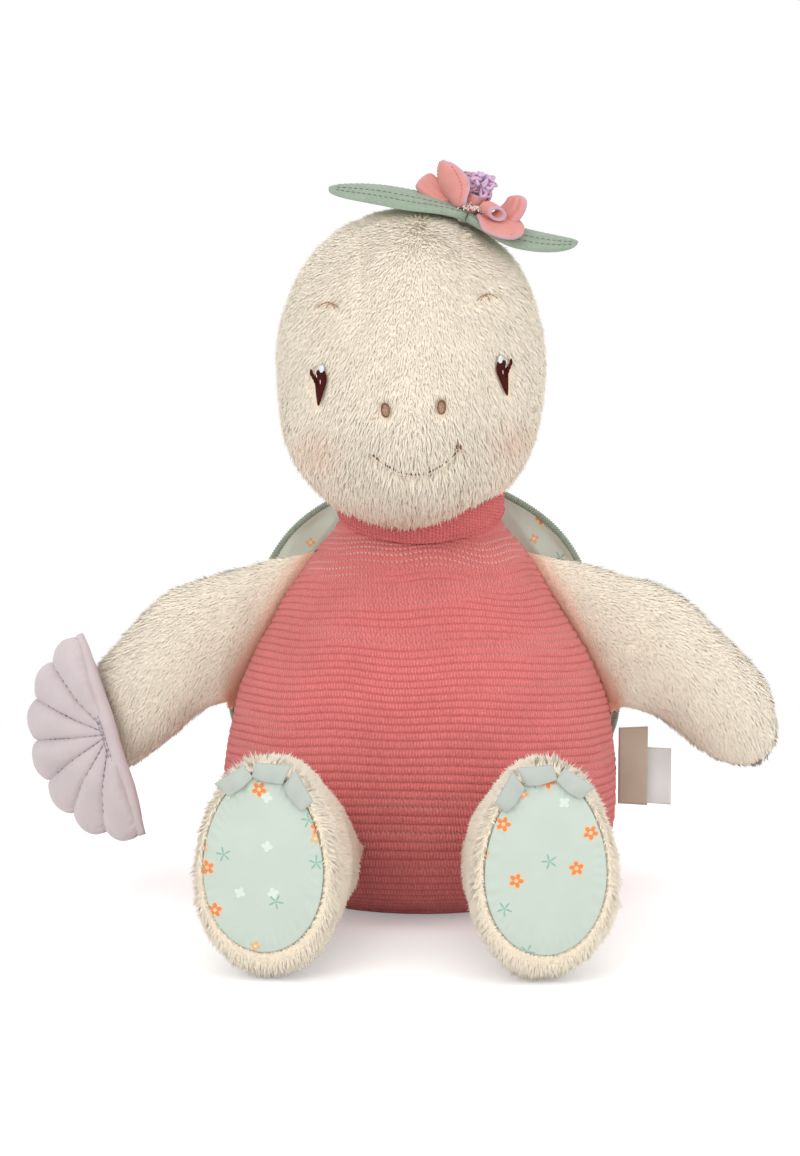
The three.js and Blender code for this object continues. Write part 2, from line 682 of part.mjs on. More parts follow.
// A leaf: a plate whose half width swells and closes in along it, bent up or down
function leaf(side, length, rise) {
  const rows = 9;
  const columns = 5;
  const root = GAP / 2;
  const grid = (lift) => Array.from({ length: rows }, (_, i) => {
    const share = i / (rows - 1);
    const swell = sqrt(max(0, sin(PI * (0.08 + 0.9 * share ** 0.9))));
    const height = rise * share ** 2;
    return Array.from({ length: columns }, (_, j) => {
      const across = (LEAF_WIDTH / 2) * swell * ((2 * j) / (columns - 1) - 1);
      return at(side * (root + length * share), across, height + lift);
    });
  });
  return plate(grid(LEAF_THICKNESS), grid(0));
}

// A petal: a plate on a radius of the flower that leaves it at one angle and ends at another
function petal(azimuth, startDeg, endDeg, length, width) {
  const rows = 7;
  const columns = 5;
  const out = at(cos(rad(azimuth)), sin(rad(azimuth)), 0);
  const across = at(-out.y, out.x, 0);
  const floor = LEAF_THICKNESS + GAP;
  let spine = offset(at(0, 0, floor), [out, PETAL_RING]);
  const upper = [];
  const lower = [];
  for (let i = 0; i < rows; i++) {
    const share = i / (rows - 1);
    const pitch = rad(lerp(startDeg, endDeg, share));
    const run = offset(at(0, 0, 0), [out, cos(pitch)], [Z_AXIS, sin(pitch)]);
    const normal = offset(at(0, 0, 0), [out, -sin(pitch)], [Z_AXIS, cos(pitch)]);
    const swell = 0.35 + 0.65 * sin((PI / 2) * min(1, share / 0.6));
    const half = (width / 2) * swell * sqrt(1.02 - share ** 4);
    const cup = (j) => 0.12 * half * ((2 * j) / (columns - 1) - 1) ** 2;
    const row = (lift) => Array.from({ length: columns }, (_, j) =>
      offset(spine, [across, half * ((2 * j) / (columns - 1) - 1)], [normal, lift + cup(j)]));
    upper.push(row(PETAL_THICKNESS));
    lower.push(row(0));
    spine = offset(spine, [run, length / (rows - 1)]);
  }
  return plate(upper, lower);
}

// A round tube standing on its own middle, as an open roll of cloth
function roll(diameter, wall, length) {
  const [outer, inner] = [diameter / 2, diameter / 2 - wall];
  const profile = [[inner, 0], [outer, 0], [outer, length], [inner, length], [inner, 0]];
  return new THREE.LatheGeometry(profile.map(([r, h]) => new THREE.Vector2(r, h)), 14).rotateX(PI / 2);
}

// Yarn ends cut to a lumpy ball
function pompom() {
  const rows = 7;
  const sides = 14;
  const rings = [];
  for (let i = 1; i < rows; i++) {
    const down = (PI * i) / rows;
    rings.push(Array.from({ length: sides }, (_, j) => {
      const lump = 1 - 0.12 * ((i + j) % 2);
      const radius = (POMPOM_WIDTH / 2) * sin(down) * lump;
      const round = (2 * PI * j) / sides;
      return at(radius * cos(round), radius * sin(round), (POMPOM_HEIGHT / 2) * cos(down));
    }));
  }
  return loft(rings);
}

function addFlower(head) {
  const crown = crownHeight(FLOWER_ACROSS, FLOWER_FORWARD);
  const acrossSlope = crownHeight(FLOWER_ACROSS + 1, FLOWER_FORWARD) - crown;
  const forwardSlope = crownHeight(FLOWER_ACROSS, FLOWER_FORWARD + 1) - crown;
  const normal = at(-acrossSlope, forwardSlope, 1).normalize();
  const flower = new THREE.Group();
  flower.quaternion.setFromUnitVectors(Z_AXIS, normal);
  flower.position.copy(offset(at(FLOWER_ACROSS, -FLOWER_FORWARD, crown), [normal, GAP]));
  head.add(flower);
  addPiece(flower, 'leaf_left', leaf(-1, LEFT_LEAF_LENGTH, -LEFT_LEAF_DROOP), 'sagePiping');
  addPiece(flower, 'leaf_right', leaf(1, RIGHT_LEAF_LENGTH, RIGHT_LEAF_LIFT), 'sagePiping');
  addPiece(flower, 'petal_right', petal(0, 14, 108, RIGHT_PETAL_LENGTH, RIGHT_PETAL_WIDTH), 'pinkSatin');
  addPiece(flower, 'petal_back', petal(85, 15, 70, BACK_PETAL_LENGTH, BACK_PETAL_WIDTH), 'pinkSatin');
  addPiece(flower, 'petal_left', petal(160, 5, 65, LEFT_PETAL_LENGTH, LEFT_PETAL_WIDTH), 'pinkSatin');
  addPiece(flower, 'petal_upright', petal(222, 45, 92, UPRIGHT_PETAL_LENGTH, UPRIGHT_PETAL_WIDTH), 'pinkSatin');
  addPiece(flower, 'petal_front', petal(300, 0, 8, FRONT_PETAL_LENGTH, FRONT_PETAL_WIDTH), 'pinkSatin');
  const floor = LEAF_THICKNESS + GAP;
  const bud = addPiece(flower, 'flower_bud', roll(BUD_DIAMETER, BUD_WALL, BUD_HEIGHT), 'pinkSatin');
  bud.position.z = floor;
  const small = addPiece(flower, 'flower_loop', roll(LOOP_DIAMETER, LOOP_WALL, LOOP_LENGTH), 'pinkSatin');
  small.rotation.x = PI / 2;
  const loopHeight = floor + PETAL_THICKNESS + PETAL_CUP + GAP + LOOP_DIAMETER / 2;
  small.position.set(LOOP_ACROSS, -LOOP_FORWARD + LOOP_LENGTH / 2, loopHeight);
  const yarn = addPiece(flower, 'flower_pompom', pompom(), 'lilacYarn');
  yarn.position.z = floor + BUD_HEIGHT + GAP + POMPOM_HEIGHT / 2;
}

// Where an arm is sewn on: the middle of its seam, the seam's run and the way out of it. The
// body's facets lie a little inside its curve, so the seam is sunk by as much
function armSeam(side) {
  const slope = (bodyHalfWidth(SHOULDER_HEIGHT + 1) - bodyHalfWidth(SHOULDER_HEIGHT - 1)) / 2;
  const along = at(side * slope, 0, 1).normalize();
  const out = at(side, 0, -slope).normalize();
  const middle = offset(at(side * bodyHalfWidth(SHOULDER_HEIGHT), 0, SHOULDER_HEIGHT), [out, GAP - SHOULDER_SINK]);
  return { middle, along, out };
}

// The arm's middle line: a bent run out and down to the hand, coming a little forward
function armLine(side, reach, drop) {
  const { middle } = armSeam(side);
  return new THREE.QuadraticBezierCurve3(
    middle,
    offset(middle, [at(side, 0, 0), 0.64 * reach], [Z_AXIS, -0.06 * drop]),
    offset(middle, [at(side, 0, 0), reach], [Y_AXIS, -ARM_FORWARD], [Z_AXIS, -drop]),
  );
}

// How full the arm is along its length: even, then rounding off to the hand's tip
function armFullness(share) {
  return sqrt(max(0, 1 - max(0, (share - 0.5) / 0.5) ** 2.6));
}

function armForm(side, reach, drop, inset) {
  const { middle } = armSeam(side);
  const line = armLine(side, reach, drop);
  const length = line.getLength();
  const shares = [0, 0.15, 0.3, 0.45, 0.6, 0.72, 0.82, 0.9, 0.96, 0.99];
  const floor = 2 - inset / 2;
  const ring = (centre, share) => {
    const run = line.getTangent(share);
    const across = run.clone().cross(Y_AXIS).multiplyScalar(side).normalize();
    const full = armFullness(share);
    const half = lerp(ARM_ROOT_WIDTH, ARM_WIDTH, smoothstep(share, -0.1, 0.28)) / 2;
    return oval(centre, across, run.clone().cross(across).normalize(),
      max(half * full - inset, floor), max((ARM_THICKNESS / 2) * full - inset, floor), LIMB_SIDES);
  };
  const start = offset(middle, [line.getTangent(0), -ARM_ROOT_WIDTH / 3]);
  const rest = shares.map((share) => ring(line.getPoint(share * (1 - inset / length)), share));
  return solid(loft([ring(start, 0), ...rest]));
}

function addArm(parent, word, side, reach, drop) {
  const { middle, along, out } = armSeam(side);
  const wedgeAt = (cloth) => wedge(offset(middle, [out, cloth / sin(rad(ARM_WEDGE_DEG))]), along, out, ARM_WEDGE_DEG);
  const body = (inset) => {
    const whole = armForm(side, reach, drop, inset).intersect(wedgeAt(inset));
    return side < 0 ? whole.subtract(fanRoom(inset)) : whole;
  };
  const mouthDepth = 4 * FUR;
  const mouth = solid(new THREE.BoxGeometry(2 * mouthDepth, FUR / 3, ARM_ROOT_WIDTH - 3 * mouthDepth)
    .applyMatrix4(new THREE.Matrix4().makeBasis(out, Y_AXIS, out.clone().cross(Y_AXIS)).setPosition(middle)));
  const fill = FUR + GAP;
  addPiece(parent, `arm_${word}_skin`, body(0).subtract(body(FUR)).subtract(mouth), 'creamFur');
  addPiece(parent, `arm_${word}_stuffing`, body(fill), 'whiteFill');
}

// The fan's own frame: x out along its middle lobe, y along its straight edge, z to its face
function fanPlace() {
  const line = armLine(-1, LEFT_ARM_REACH, LEFT_ARM_DROP);
  const hand = line.getPoint(FAN_ARM_SHARE);
  const front = (ARM_THICKNESS / 2) * armFullness(FAN_ARM_SHARE);
  const base = offset(hand, [Y_AXIS, -front - FAN_THICKNESS / 2 - GAP]);
  const turn = rad(FAN_TURN_DEG);
  const level = at(-cos(turn), sin(turn), 0);
  const tip = rad(FAN_TIP_DEG);
  const out = offset(at(0, 0, 0), [level, cos(tip)], [Z_AXIS, -sin(tip)]);
  const edge = offset(at(0, 0, 0), [level, -sin(tip)], [Z_AXIS, -cos(tip)]);
  return new THREE.Matrix4().makeBasis(out, edge, out.clone().cross(edge)).setPosition(base);
}

// The space in front of the hand that the fan presses flat
function fanRoom(cloth) {
  const reach = 2 * FAN_RADIUS;
  const back = -FAN_THICKNESS / 2 - GAP - cloth;
  const room = new THREE.BoxGeometry(2 * reach, 2 * reach, reach).translate(0, 0, back + reach / 2);
  return solid(room.applyMatrix4(fanPlace()));
}

// A point on the fan: share of the way out, angle from the middle lobe, and height off its plane
function fanPoint(share, angle, layer) {
  const puff = abs(sin(FAN_LOBE_COUNT * (angle + PI / 2))) ** 0.5;
  const radius = FAN_RADIUS * share * lerp(0.93, 1, puff * share);
  const belly = lerp(FAN_BASE_THICKNESS, FAN_THICKNESS, smoothstep(share, 0.05, 0.6)) / 2;
  const core = (belly - SATIN - GAP) * sqrt(1 - 0.96 * share ** 5) * lerp(1, lerp(0.6, 1, puff), share);
  return at(radius * cos(angle), radius * sin(angle), layer(SATIN + GAP + core));
}

function fanLayer(near, far) {
  const rows = 5;
  const columns = FAN_LOBE_COUNT * 4 + 1;
  const grid = (layer) => Array.from({ length: rows }, (_, i) =>
    Array.from({ length: columns }, (_, j) => {
      const share = lerp(0.08, 1, (i / (rows - 1)) ** 0.8);
      return fanPoint(share, lerp(-PI / 2, PI / 2, j / (columns - 1)), layer);
    }));
  return plate(grid(far), grid(near));
}

function addFan(parent) {
  const fan = new THREE.Group();
  fan.applyMatrix4(fanPlace());
  parent.add(fan);
  addPiece(fan, 'fan_front', fanLayer((half) => half - SATIN, (half) => half), 'lilacVelour');
  addPiece(fan, 'fan_back', fanLayer((half) => -half, (half) => SATIN - half), 'lilacVelour');
  const fill = SATIN + GAP;
  addPiece(fan, 'fan_wadding', fanLayer((half) => fill - half, (half) => half - fill), 'whiteFill');
}

// Where a leg is sewn on: a level seam across the body's front, and the way out of it
function hipSeam(side) {
  const [wide, deep] = [bodyHalfWidth(HIP_HEIGHT), bodyHalfWidth(HIP_HEIGHT) * BODY_RATIO];
  const x = HIP_SPACING / 2;
  const y = -deep * sqrt(1 - (x / wide) ** 2);
  const out = at((side * x) / wide ** 2, y / deep ** 2, 0).normalize();
  const middle = offset(at(side * x, y, HIP_HEIGHT), [out, GAP - HIP_SINK]);
  return { middle, out, along: Z_AXIS.clone().cross(out) };
}

function legFrame(side) {
  const { middle } = hipSeam(side);
  const splay = rad(LEG_SPLAY_DEG);
  const run = at(side * sin(splay), -cos(splay), 0);
  const across = at(cos(splay), side * sin(splay), 0);
  const footMiddle = FOOT_HEIGHT / 2 - SEAT_CUT;
  return { middle, run, across, footMiddle };
}

// The leg's section at a share of its length: the tube swells into the foot, then rounds
// over to the sole's rim
function legForm(side, inset) {
  const { middle, run, across, footMiddle } = legFrame(side);
  const full = 1 - FOOT_ROUNDING_SHARE;
  const shares = [-0.12, 0.12, 0.3, 0.48, 0.68, full, 0.93, 0.98, 1];
  const rim = SOLE_RIM + GAP;
  const rings = shares.map((share) => {
    const swell = smoothstep(share, 0, full);
    const over = sqrt(max(0, 1 - max(0, (share - full) / FOOT_ROUNDING_SHARE) ** 2));
    const wide = lerp(SOLE_WIDTH / 2 + rim, lerp(LEG_WIDTH, FOOT_WIDTH, swell) / 2, share > full ? over : 1);
    const high = lerp(SOLE_HEIGHT / 2 + rim, lerp(LEG_HEIGHT, FOOT_HEIGHT, swell) / 2, share > full ? over : 1);
    const rise = share > full ? lerp(SOLE_RISE, 0, over) : 0;
    const height = lerp(HIP_HEIGHT, footMiddle, swell) + rise;
    const centre = offset(middle, [run, LEG_LENGTH * share]).setZ(height);
    return oval(centre, across, Z_AXIS, wide - inset, high - inset, FOOT_SIDES, FOOT_EGG_SHARE);
  });
  if (inset > FUR) return solid(loft(rings));
  const last = rings[rings.length - 1];
  const beyond = last.map((p) => offset(p, [run, inset]));
  return solid(loft(inset > 0 ? [...rings, beyond] : rings));
}

function soleFrame(side) {
  const { middle, run, across, footMiddle } = legFrame(side);
  const centre = offset(middle, [run, LEG_LENGTH + GAP]).setZ(footMiddle + SOLE_RISE);
  return { centre, run, across };
}

function addLeg(parent, word, side) {
  const { middle, out, along } = hipSeam(side);
  const wedgeAt = (cloth) => wedge(offset(middle, [out, cloth / sin(rad(LEG_WEDGE_DEG))]), along, out, LEG_WEDGE_DEG);
  const far = 2 * BODY_WIDTH;
  const aboveFloor = box(at(-far, -far, 0), at(far, far, far));
  const body = (inset) => legForm(side, inset).intersect(wedgeAt(inset)).intersect(aboveFloor);
  addPiece(parent, `leg_${word}_skin`, body(0).subtract(body(FUR)), 'creamFur');
  addPiece(parent, `leg_${word}_stuffing`, body(FUR + GAP), 'whiteFill');
  const { centre, run, across } = soleFrame(side);
  const sides = FOOT_SIDES;
  const disc = (depth) => oval(offset(centre, [run, depth]), across, Z_AXIS,
    SOLE_WIDTH / 2, SOLE_HEIGHT / 2, sides, FOOT_EGG_SHARE);
  addPiece(parent, `sole_${word}`, loft([disc(0), disc(SOLE_THICKNESS)]), 'mintSatin');
  ['outer', 'middle', 'inner'].forEach((place, k) => {
    addPiece(parent, `toe_${word}_${place}`, toeTab(side, TOE_ANGLES_DEG[k]), 'greyMintSatin');
  });
}

// A folded tab in the sole's top seam: a small plate turned down over the sole
function toeTab(side, angleDeg) {
  const { centre, run, across } = soleFrame(side);
  const angle = rad(angleDeg);
  const outer = across.clone().multiplyScalar(side);
  const width = (SOLE_WIDTH / 2) * (1 - FOOT_EGG_SHARE * sin(angle));
  const edge = offset(centre, [outer, width * cos(angle)], [Z_AXIS, (SOLE_HEIGHT / 2) * sin(angle)]);
  const out = offset(at(0, 0, 0), [outer, cos(angle) / width], [Z_AXIS, sin(angle) / (SOLE_HEIGHT / 2)]).normalize();
  const along = out.clone().cross(run).normalize();
  const grid = (depth) => [[0, 1], [1, 0.72]].map(([far, narrow]) => [-1, 1].map((end) =>
    offset(edge, [out, TOE_LENGTH * (0.35 - far)], [along, (end * narrow * TOE_WIDTH) / 2], [run, depth])));
  const lift = SOLE_THICKNESS + GAP;
  return plate(grid(lift + TOE_THICKNESS), grid(lift));
}

const turtle = new THREE.Group();
addBody(turtle);
addCollar(turtle);
addNeckStuffing(turtle);
addCarapace(turtle);
addLabels(turtle);
const head = new THREE.Group();
head.applyMatrix4(headPlace);
turtle.add(head);
addHead(head);
addFace(head);
addFlower(head);
addArm(turtle, 'left', -1, LEFT_ARM_REACH, LEFT_ARM_DROP);
addArm(turtle, 'right', 1, RIGHT_ARM_REACH, RIGHT_ARM_DROP);
addFan(turtle);
addLeg(turtle, 'left', -1);
addLeg(turtle, 'right', 1);

export default turtle;
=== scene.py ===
"""A seated plush turtle: fur head and limbs, a corduroy body, a padded satin carapace, a
quilted fan shell sewn to one hand, and a cloth flower on the head.

Sizes are millimetres, in the CAD frame: +Z up, the toy faces -Y, the viewer's right is +X.
"Left" and "right" are the viewer's.
"""
import logging
from dataclasses import dataclass, field
from enum import Enum
from typing import Any, Callable, Sequence

import bpy
import numpy as np
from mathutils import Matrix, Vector


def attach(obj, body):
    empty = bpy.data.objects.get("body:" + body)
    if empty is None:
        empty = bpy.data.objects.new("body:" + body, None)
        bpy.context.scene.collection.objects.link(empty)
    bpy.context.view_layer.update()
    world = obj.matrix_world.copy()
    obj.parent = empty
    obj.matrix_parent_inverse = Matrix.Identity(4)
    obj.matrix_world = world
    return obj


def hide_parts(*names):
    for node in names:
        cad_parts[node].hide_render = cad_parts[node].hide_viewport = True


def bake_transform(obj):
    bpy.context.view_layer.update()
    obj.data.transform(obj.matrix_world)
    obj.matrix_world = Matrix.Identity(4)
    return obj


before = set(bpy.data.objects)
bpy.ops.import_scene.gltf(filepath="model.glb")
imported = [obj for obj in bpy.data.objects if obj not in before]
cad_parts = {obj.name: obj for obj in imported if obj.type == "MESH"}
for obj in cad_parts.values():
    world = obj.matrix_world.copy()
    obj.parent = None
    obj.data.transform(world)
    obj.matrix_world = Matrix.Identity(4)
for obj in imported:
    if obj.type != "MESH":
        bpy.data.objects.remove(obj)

Array = np.ndarray
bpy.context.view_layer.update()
MM = 0.001
PI = np.pi
X, Y, Z = np.eye(3)
log = logging.getLogger("turtle")


class Side(Enum):
    """Which side of the toy, as the viewer sees it."""

    LEFT = -1
    RIGHT = 1

    @property
    def word(self) -> str:
        """The side's name in lower case."""
        return self.name.lower()


# Arithmetic on whole arrays


def unit(vectors: Array) -> Array:
    """Each vector divided by its length."""
    return vectors / np.maximum(np.linalg.norm(vectors, axis=-1, keepdims=True), 1e-9)


def mix(a: Any, b: Any, share: Any) -> Any:
    """a where share is 0, b where it is 1, and a straight line between."""
    return a + (b - a) * share


def smooth(x: Any, low: float, high: float) -> Array:
    """0 below low, 1 above high, with the cubic 3t^2 - 2t^3 between."""
    t = np.clip((np.asarray(x, float) - low) / (high - low), 0, 1)
    return t * t * (3 - 2 * t)


def bump_of(x: Any, width: float) -> Array:
    """A bell of height 1: exp(-(x / width)^2)."""
    return np.exp(-((np.asarray(x, float) / width) ** 2))


def turn(points: Array, axis: Array, degrees: float, about: Array = np.zeros(3)) -> Array:
    """Points turned about an axis through a point, by Rodrigues' formula.

    Args:
        points: the points.
        axis: the axis, of length 1.
        degrees: how far, by the right-hand rule.
        about: a point on the axis.

    Returns:
        The turned points.
    """
    a, rel = np.radians(degrees), points - about
    turned = rel * np.cos(a) + np.cross(axis, rel) * np.sin(a)
    return turned + np.outer(rel @ axis, axis).reshape(rel.shape) * (1 - np.cos(a)) + about


def full_turn(count: int) -> Array:
    """Even angles once round, the last one short of the first."""
    return np.linspace(0, 2 * PI, count, endpoint=False)


def squared(wave: Array, power: float) -> Array:
    """A wave made squarer by a power below 1: sign(w) |w|^p."""
    return np.sign(wave) * np.abs(wave) ** power


def follow(place: Array, along: Array, line: Array) -> Array:
    """A line's points or ways at places along it, straight between its own."""
    return np.stack([np.interp(place, along, line[:, k]) for k in range(3)], -1)


@dataclass(frozen=True)
class Ripple:
    """Smooth noise: the mean of sine waves of about one length with random directions."""

    length: float
    seed: int = 1
    waves: int = 14

    def _waves(self) -> tuple[Array, Array]:
        """The wave vectors and phases.

        Returns:
            The wave vectors, and a phase for each.
        """
        rng = np.random.default_rng(self.seed)
        k = unit(rng.normal(size=(self.waves, 3)))
        k *= 2 * PI / (self.length * rng.uniform(0.7, 1.5, (self.waves, 1)))
        return k, rng.uniform(0, 2 * PI, self.waves)

    def value(self, points: Array) -> Array:
        """The noise at each point, mostly between -1 and 1."""
        k, phase = self._waves()
        return np.sin(points @ k.T + phase).sum(-1) / np.sqrt(self.waves)

    def slope(self, points: Array) -> Array:
        """The direction in which the noise rises, about 1 long."""
        k, phase = self._waves()
        return np.cos(points @ k.T + phase) @ k / np.sqrt(self.waves) * self.length / (2 * PI)


# Meshes


@dataclass
class Patch:
    """Points with faces, values at the points and texture places at the faces' corners.

    uv is in millimetres along and across the cloth; bake holds places in the unit square.
    """

    points: Array
    faces: list[Array]
    values: dict[str, Array] = field(default_factory=dict)
    normals: Array | None = None
    uv: Array | None = None
    bake: Array | None = None

    def triangles(self) -> Array:
        """The faces as triangles, each fanned from its first corner.

        Returns:
            Three points' numbers for each triangle.
        """
        return np.concatenate([
            np.stack([f[:, 0], f[:, i], f[:, i + 1]], -1) for f in self.faces
            for i in range(1, f.shape[1] - 1)])

    def vertex_normals(self) -> Array:
        """The normals at the points: the sum of the triangles' area vectors round each.

        Returns:
            A way out for each point.
        """
        tri = self.triangles()
        a, b, c = (self.points[tri[:, k]] for k in range(3))
        area = np.cross(b - a, c - a)
        total = np.zeros_like(self.points)
        for k in range(3):
            np.add.at(total, tri[:, k], area)
        return unit(total)

    def flipped(self) -> "Patch":
        """The same patch with its faces and their texture places turned round.

        Returns:
            The patch itself.
        """
        starts = np.cumsum([0] + [f.size for f in self.faces])
        for name in ("uv", "bake"):
            data = getattr(self, name)
            if data is not None:
                setattr(self, name, np.concatenate([
                    data[s:e].reshape(*f.shape, 2)[:, ::-1].reshape(-1, 2)
                    for f, s, e in zip(self.faces, starts, starts[1:])]))
        self.faces = [f[:, ::-1] for f in self.faces]
        return self

    def outward(self, centre: Array | None = None) -> "Patch":
        """Turns the faces round where they point at the centre more than away from it.

        Args:
            centre: a place inside, or None for the points' mean.

        Returns:
            The patch itself.
        """
        centre = self.points.mean(0) if centre is None else centre
        tri = self.triangles()
        a, b, c = (self.points[tri[:, k]] for k in range(3))
        volume = np.einsum("ij,ij->", np.cross(b - a, c - a), (a + b + c) / 3 - centre)
        return self.flipped() if volume < 0 else self

    def outward_from(self, inside: Array) -> "Patch":
        """Turns the faces round where the first one points at a place inside the patch."""
        a, b, c = self.points[self.faces[0][0, :3]]
        return self.flipped() if np.cross(b - a, c - a) @ (a - inside) < 0 else self

    def add_blank(self, faces: Array) -> None:
        """Adds faces whose places on the textures are left at 0.

        Args:
            faces: the faces, as the numbers of their corners' points.
        """
        self.faces.append(faces)
        extra = np.zeros((faces.size, 2))
        self.uv, self.bake = np.vstack([self.uv, extra]), np.vstack([self.bake, extra])

    def moved(self, change: Callable[[Array], Array]) -> "Patch":
        """The same patch with its points moved by a function."""
        self.points = change(self.points)
        return self


def join(patches: Sequence[Patch]) -> Patch:
    """Several patches as one; values that a patch lacks are 0 on it.

    Args:
        patches: the patches.

    Returns:
        One patch with all their points and faces.
    """
    names = {n for p in patches for n in p.values}
    starts = np.cumsum([0] + [len(p.points) for p in patches])
    corners = [sum(f.size for f in p.faces) for p in patches]

    def gather(name: str) -> Array | None:
        """One kind of texture place of all the patches.

        Args:
            name: the kind's name.

        Returns:
            The places, or None where no patch has them.
        """
        if all(getattr(p, name) is None for p in patches):
            return None
        return np.concatenate([np.zeros((n, 2)) if getattr(p, name) is None else getattr(p, name)
                               for p, n in zip(patches, corners)])

    normals = None
    if any(p.normals is not None for p in patches):
        normals = np.concatenate([p.vertex_normals() if p.normals is None else p.normals
                                  for p in patches])
    return Patch(
        np.concatenate([p.points for p in patches]),
        [f + s for p, s in zip(patches, starts) for f in p.faces],
        {n: np.concatenate([p.values.get(n, np.zeros(len(p.points))) for p in patches])
         for n in names},
        normals, gather("uv"), gather("bake"))


def grid(points: Array, wrap: bool = True, caps: tuple[bool, bool] = (False, False),
         size: tuple[float, float] = (1.0, 1.0), **values: Array) -> Patch:
    """A skin over rows and columns of points, each column running along the rows.

    Args:
        points: rows by columns by 3.
        wrap: whether the last column joins the first.
        caps: whether the first and last rows close over their mean point.
        size: the cloth's width along a row and its height over the rows.
        values: one number per point, rows by columns.

    Returns:
        The patch.
    """
    rows, columns = points.shape[:2]
    across = columns if wrap else columns - 1
    i, j = (a.ravel() for a in np.meshgrid(np.arange(rows - 1), np.arange(across), indexing="ij"))
    steps = ((0, 0), (0, 1), (1, 1), (1, 0))
    quads = np.stack([(i + di) * columns + (j + dj) % columns for di, dj in steps], -1)
    uv = np.stack([np.stack([(j + dj) / across, (i + di) / (rows - 1)], -1)
                   for di, dj in steps], 1)
    flat, faces, places = points.reshape(-1, 3), [quads], [uv.reshape(-1, 2)]
    flat_values = {n: np.broadcast_to(v, (rows, columns)).ravel() for n, v in values.items()}
    for closed, row in zip(caps, (0, rows - 1)):
        if not closed:
            continue
        ring = np.arange(across) + row * columns
        after = (np.arange(across) + 1) % columns + row * columns
        faces.append(np.stack([np.full(across, len(flat)),
                               *((after, ring) if row == 0 else (ring, after))], -1))
        share = np.arange(across) / across
        corner = np.stack([share + 0.5 / across, share, share + 1 / across], -1)
        if row == 0:
            corner = corner[:, [0, 2, 1]]
        level = np.full_like(corner, row / (rows - 1))
        places.append(np.stack([corner, level], -1).reshape(-1, 2))
        flat = np.vstack([flat, points[row].mean(0)])
        flat_values = {n: np.append(v, v[ring].mean()) for n, v in flat_values.items()}
    unit_uv = np.concatenate(places)
    return Patch(flat, faces, flat_values, None, unit_uv * np.array(size), unit_uv)


def plate(upper: Array, lower: Array, size: tuple[float, float] = (1.0, 1.0),
          **values: Array) -> Patch:
    """Two open grids of points, one above the other, joined round their border into a solid.

    The section is carried round: each row runs out over the upper grid and back under the
    lower one, and the two end rows are closed by their own corners.

    Args:
        upper: the upper grid's points, rows by columns by 3.
        lower: the lower grid's points.
        size: the cloth's width and height.
        values: one number per point of the upper grid.

    Returns:
        The patch.
    """
    rows, columns = upper.shape[:2]
    loop = np.concatenate([upper, lower[:, ::-1]], 1)
    skin = grid(loop, True, (False, False), (2 * size[0], size[1]),
                **{n: np.concatenate([v, v[:, ::-1]], 1) for n, v in values.items()})
    j = np.arange(columns - 1)
    for row in (0, rows - 1):
        base = row * 2 * columns
        far = base + 2 * columns - 1 - j
        ends = np.stack([base + j, base + j + 1, far - 1, far], -1)
        skin.add_blank(ends if row else ends[:, ::-1])
    return skin.outward()


def hoop(points: Array, size: tuple[float, float] = (1.0, 1.0), **values: Array) -> Patch:
    """A ring-shaped skin: each row is a closed section, and the last row joins the first.

    Args:
        points: rows by columns by 3.
        size: the cloth's width and height.
        values: one number per point, rows by columns.

    Returns:
        The patch.
    """
    rows, columns = points.shape[:2]
    skin = grid(points, True, size=size, **values)
    j, last = np.arange(columns), (rows - 1) * columns
    after = (j + 1) % columns
    skin.add_blank(np.stack([last + j, last + after, after, j], -1))
    return skin.outward_from(skin.points[:columns].mean(0))


def tubes(paths: Array, radius: Any, sides: int = 5, reference: Array = Z, flat: float = 1.0,
          closed: bool = False, **values: Array) -> Patch:
    """Round strands along many paths at once.

    Args:
        paths: strands by steps by 3.
        radius: one number, or one per strand and step.
        sides: how many sides a strand has.
        reference: a direction or one per step, against which the section is turned.
        flat: the section's height over its width.
        closed: whether each strand joins its own start.
        values: one number per strand and step.

    Returns:
        The patch.
    """
    strands, steps = paths.shape[:2]
    if closed:
        run = unit(np.roll(paths, -1, 1) - np.roll(paths, 1, 1))
    else:
        run = unit(np.gradient(paths, axis=1))
    side = unit(np.cross(run, np.broadcast_to(reference, paths.shape)))
    up = np.cross(side, run)
    angle = full_turn(sides)
    wide = np.broadcast_to(np.asarray(radius, float), (strands, steps))[..., None, None]
    ring = (np.cos(angle)[:, None] * side[:, :, None]
            + flat * np.sin(angle)[:, None] * up[:, :, None])
    points = (paths[:, :, None] + wide * ring).reshape(-1, 3)
    laps = steps if closed else steps - 1
    counts = (np.arange(n) for n in (strands, laps, sides))
    s, i, j = (a.ravel() for a in np.meshgrid(*counts, indexing="ij"))

    def corner(step: Array, place: Array) -> Array:
        """The number of the point at a step along and a place round each strand."""
        return (s * steps + step % steps) * sides + place % sides

    quads = (corner(i, j), corner(i, j + 1), corner(i + 1, j + 1), corner(i + 1, j))
    faces = [np.stack(quads, -1)]
    if not closed:
        first = np.arange(strands)[:, None] * steps * sides + np.arange(sides)
        faces += [first[:, ::-1], first + (steps - 1) * sides]
    spread = {n: np.repeat(np.broadcast_to(v, (strands, steps)).ravel(), sides)
              for n, v in values.items()}
    patch = Patch(points, faces, spread)
    return patch.outward() if closed else patch.outward_from(paths[0, 0])


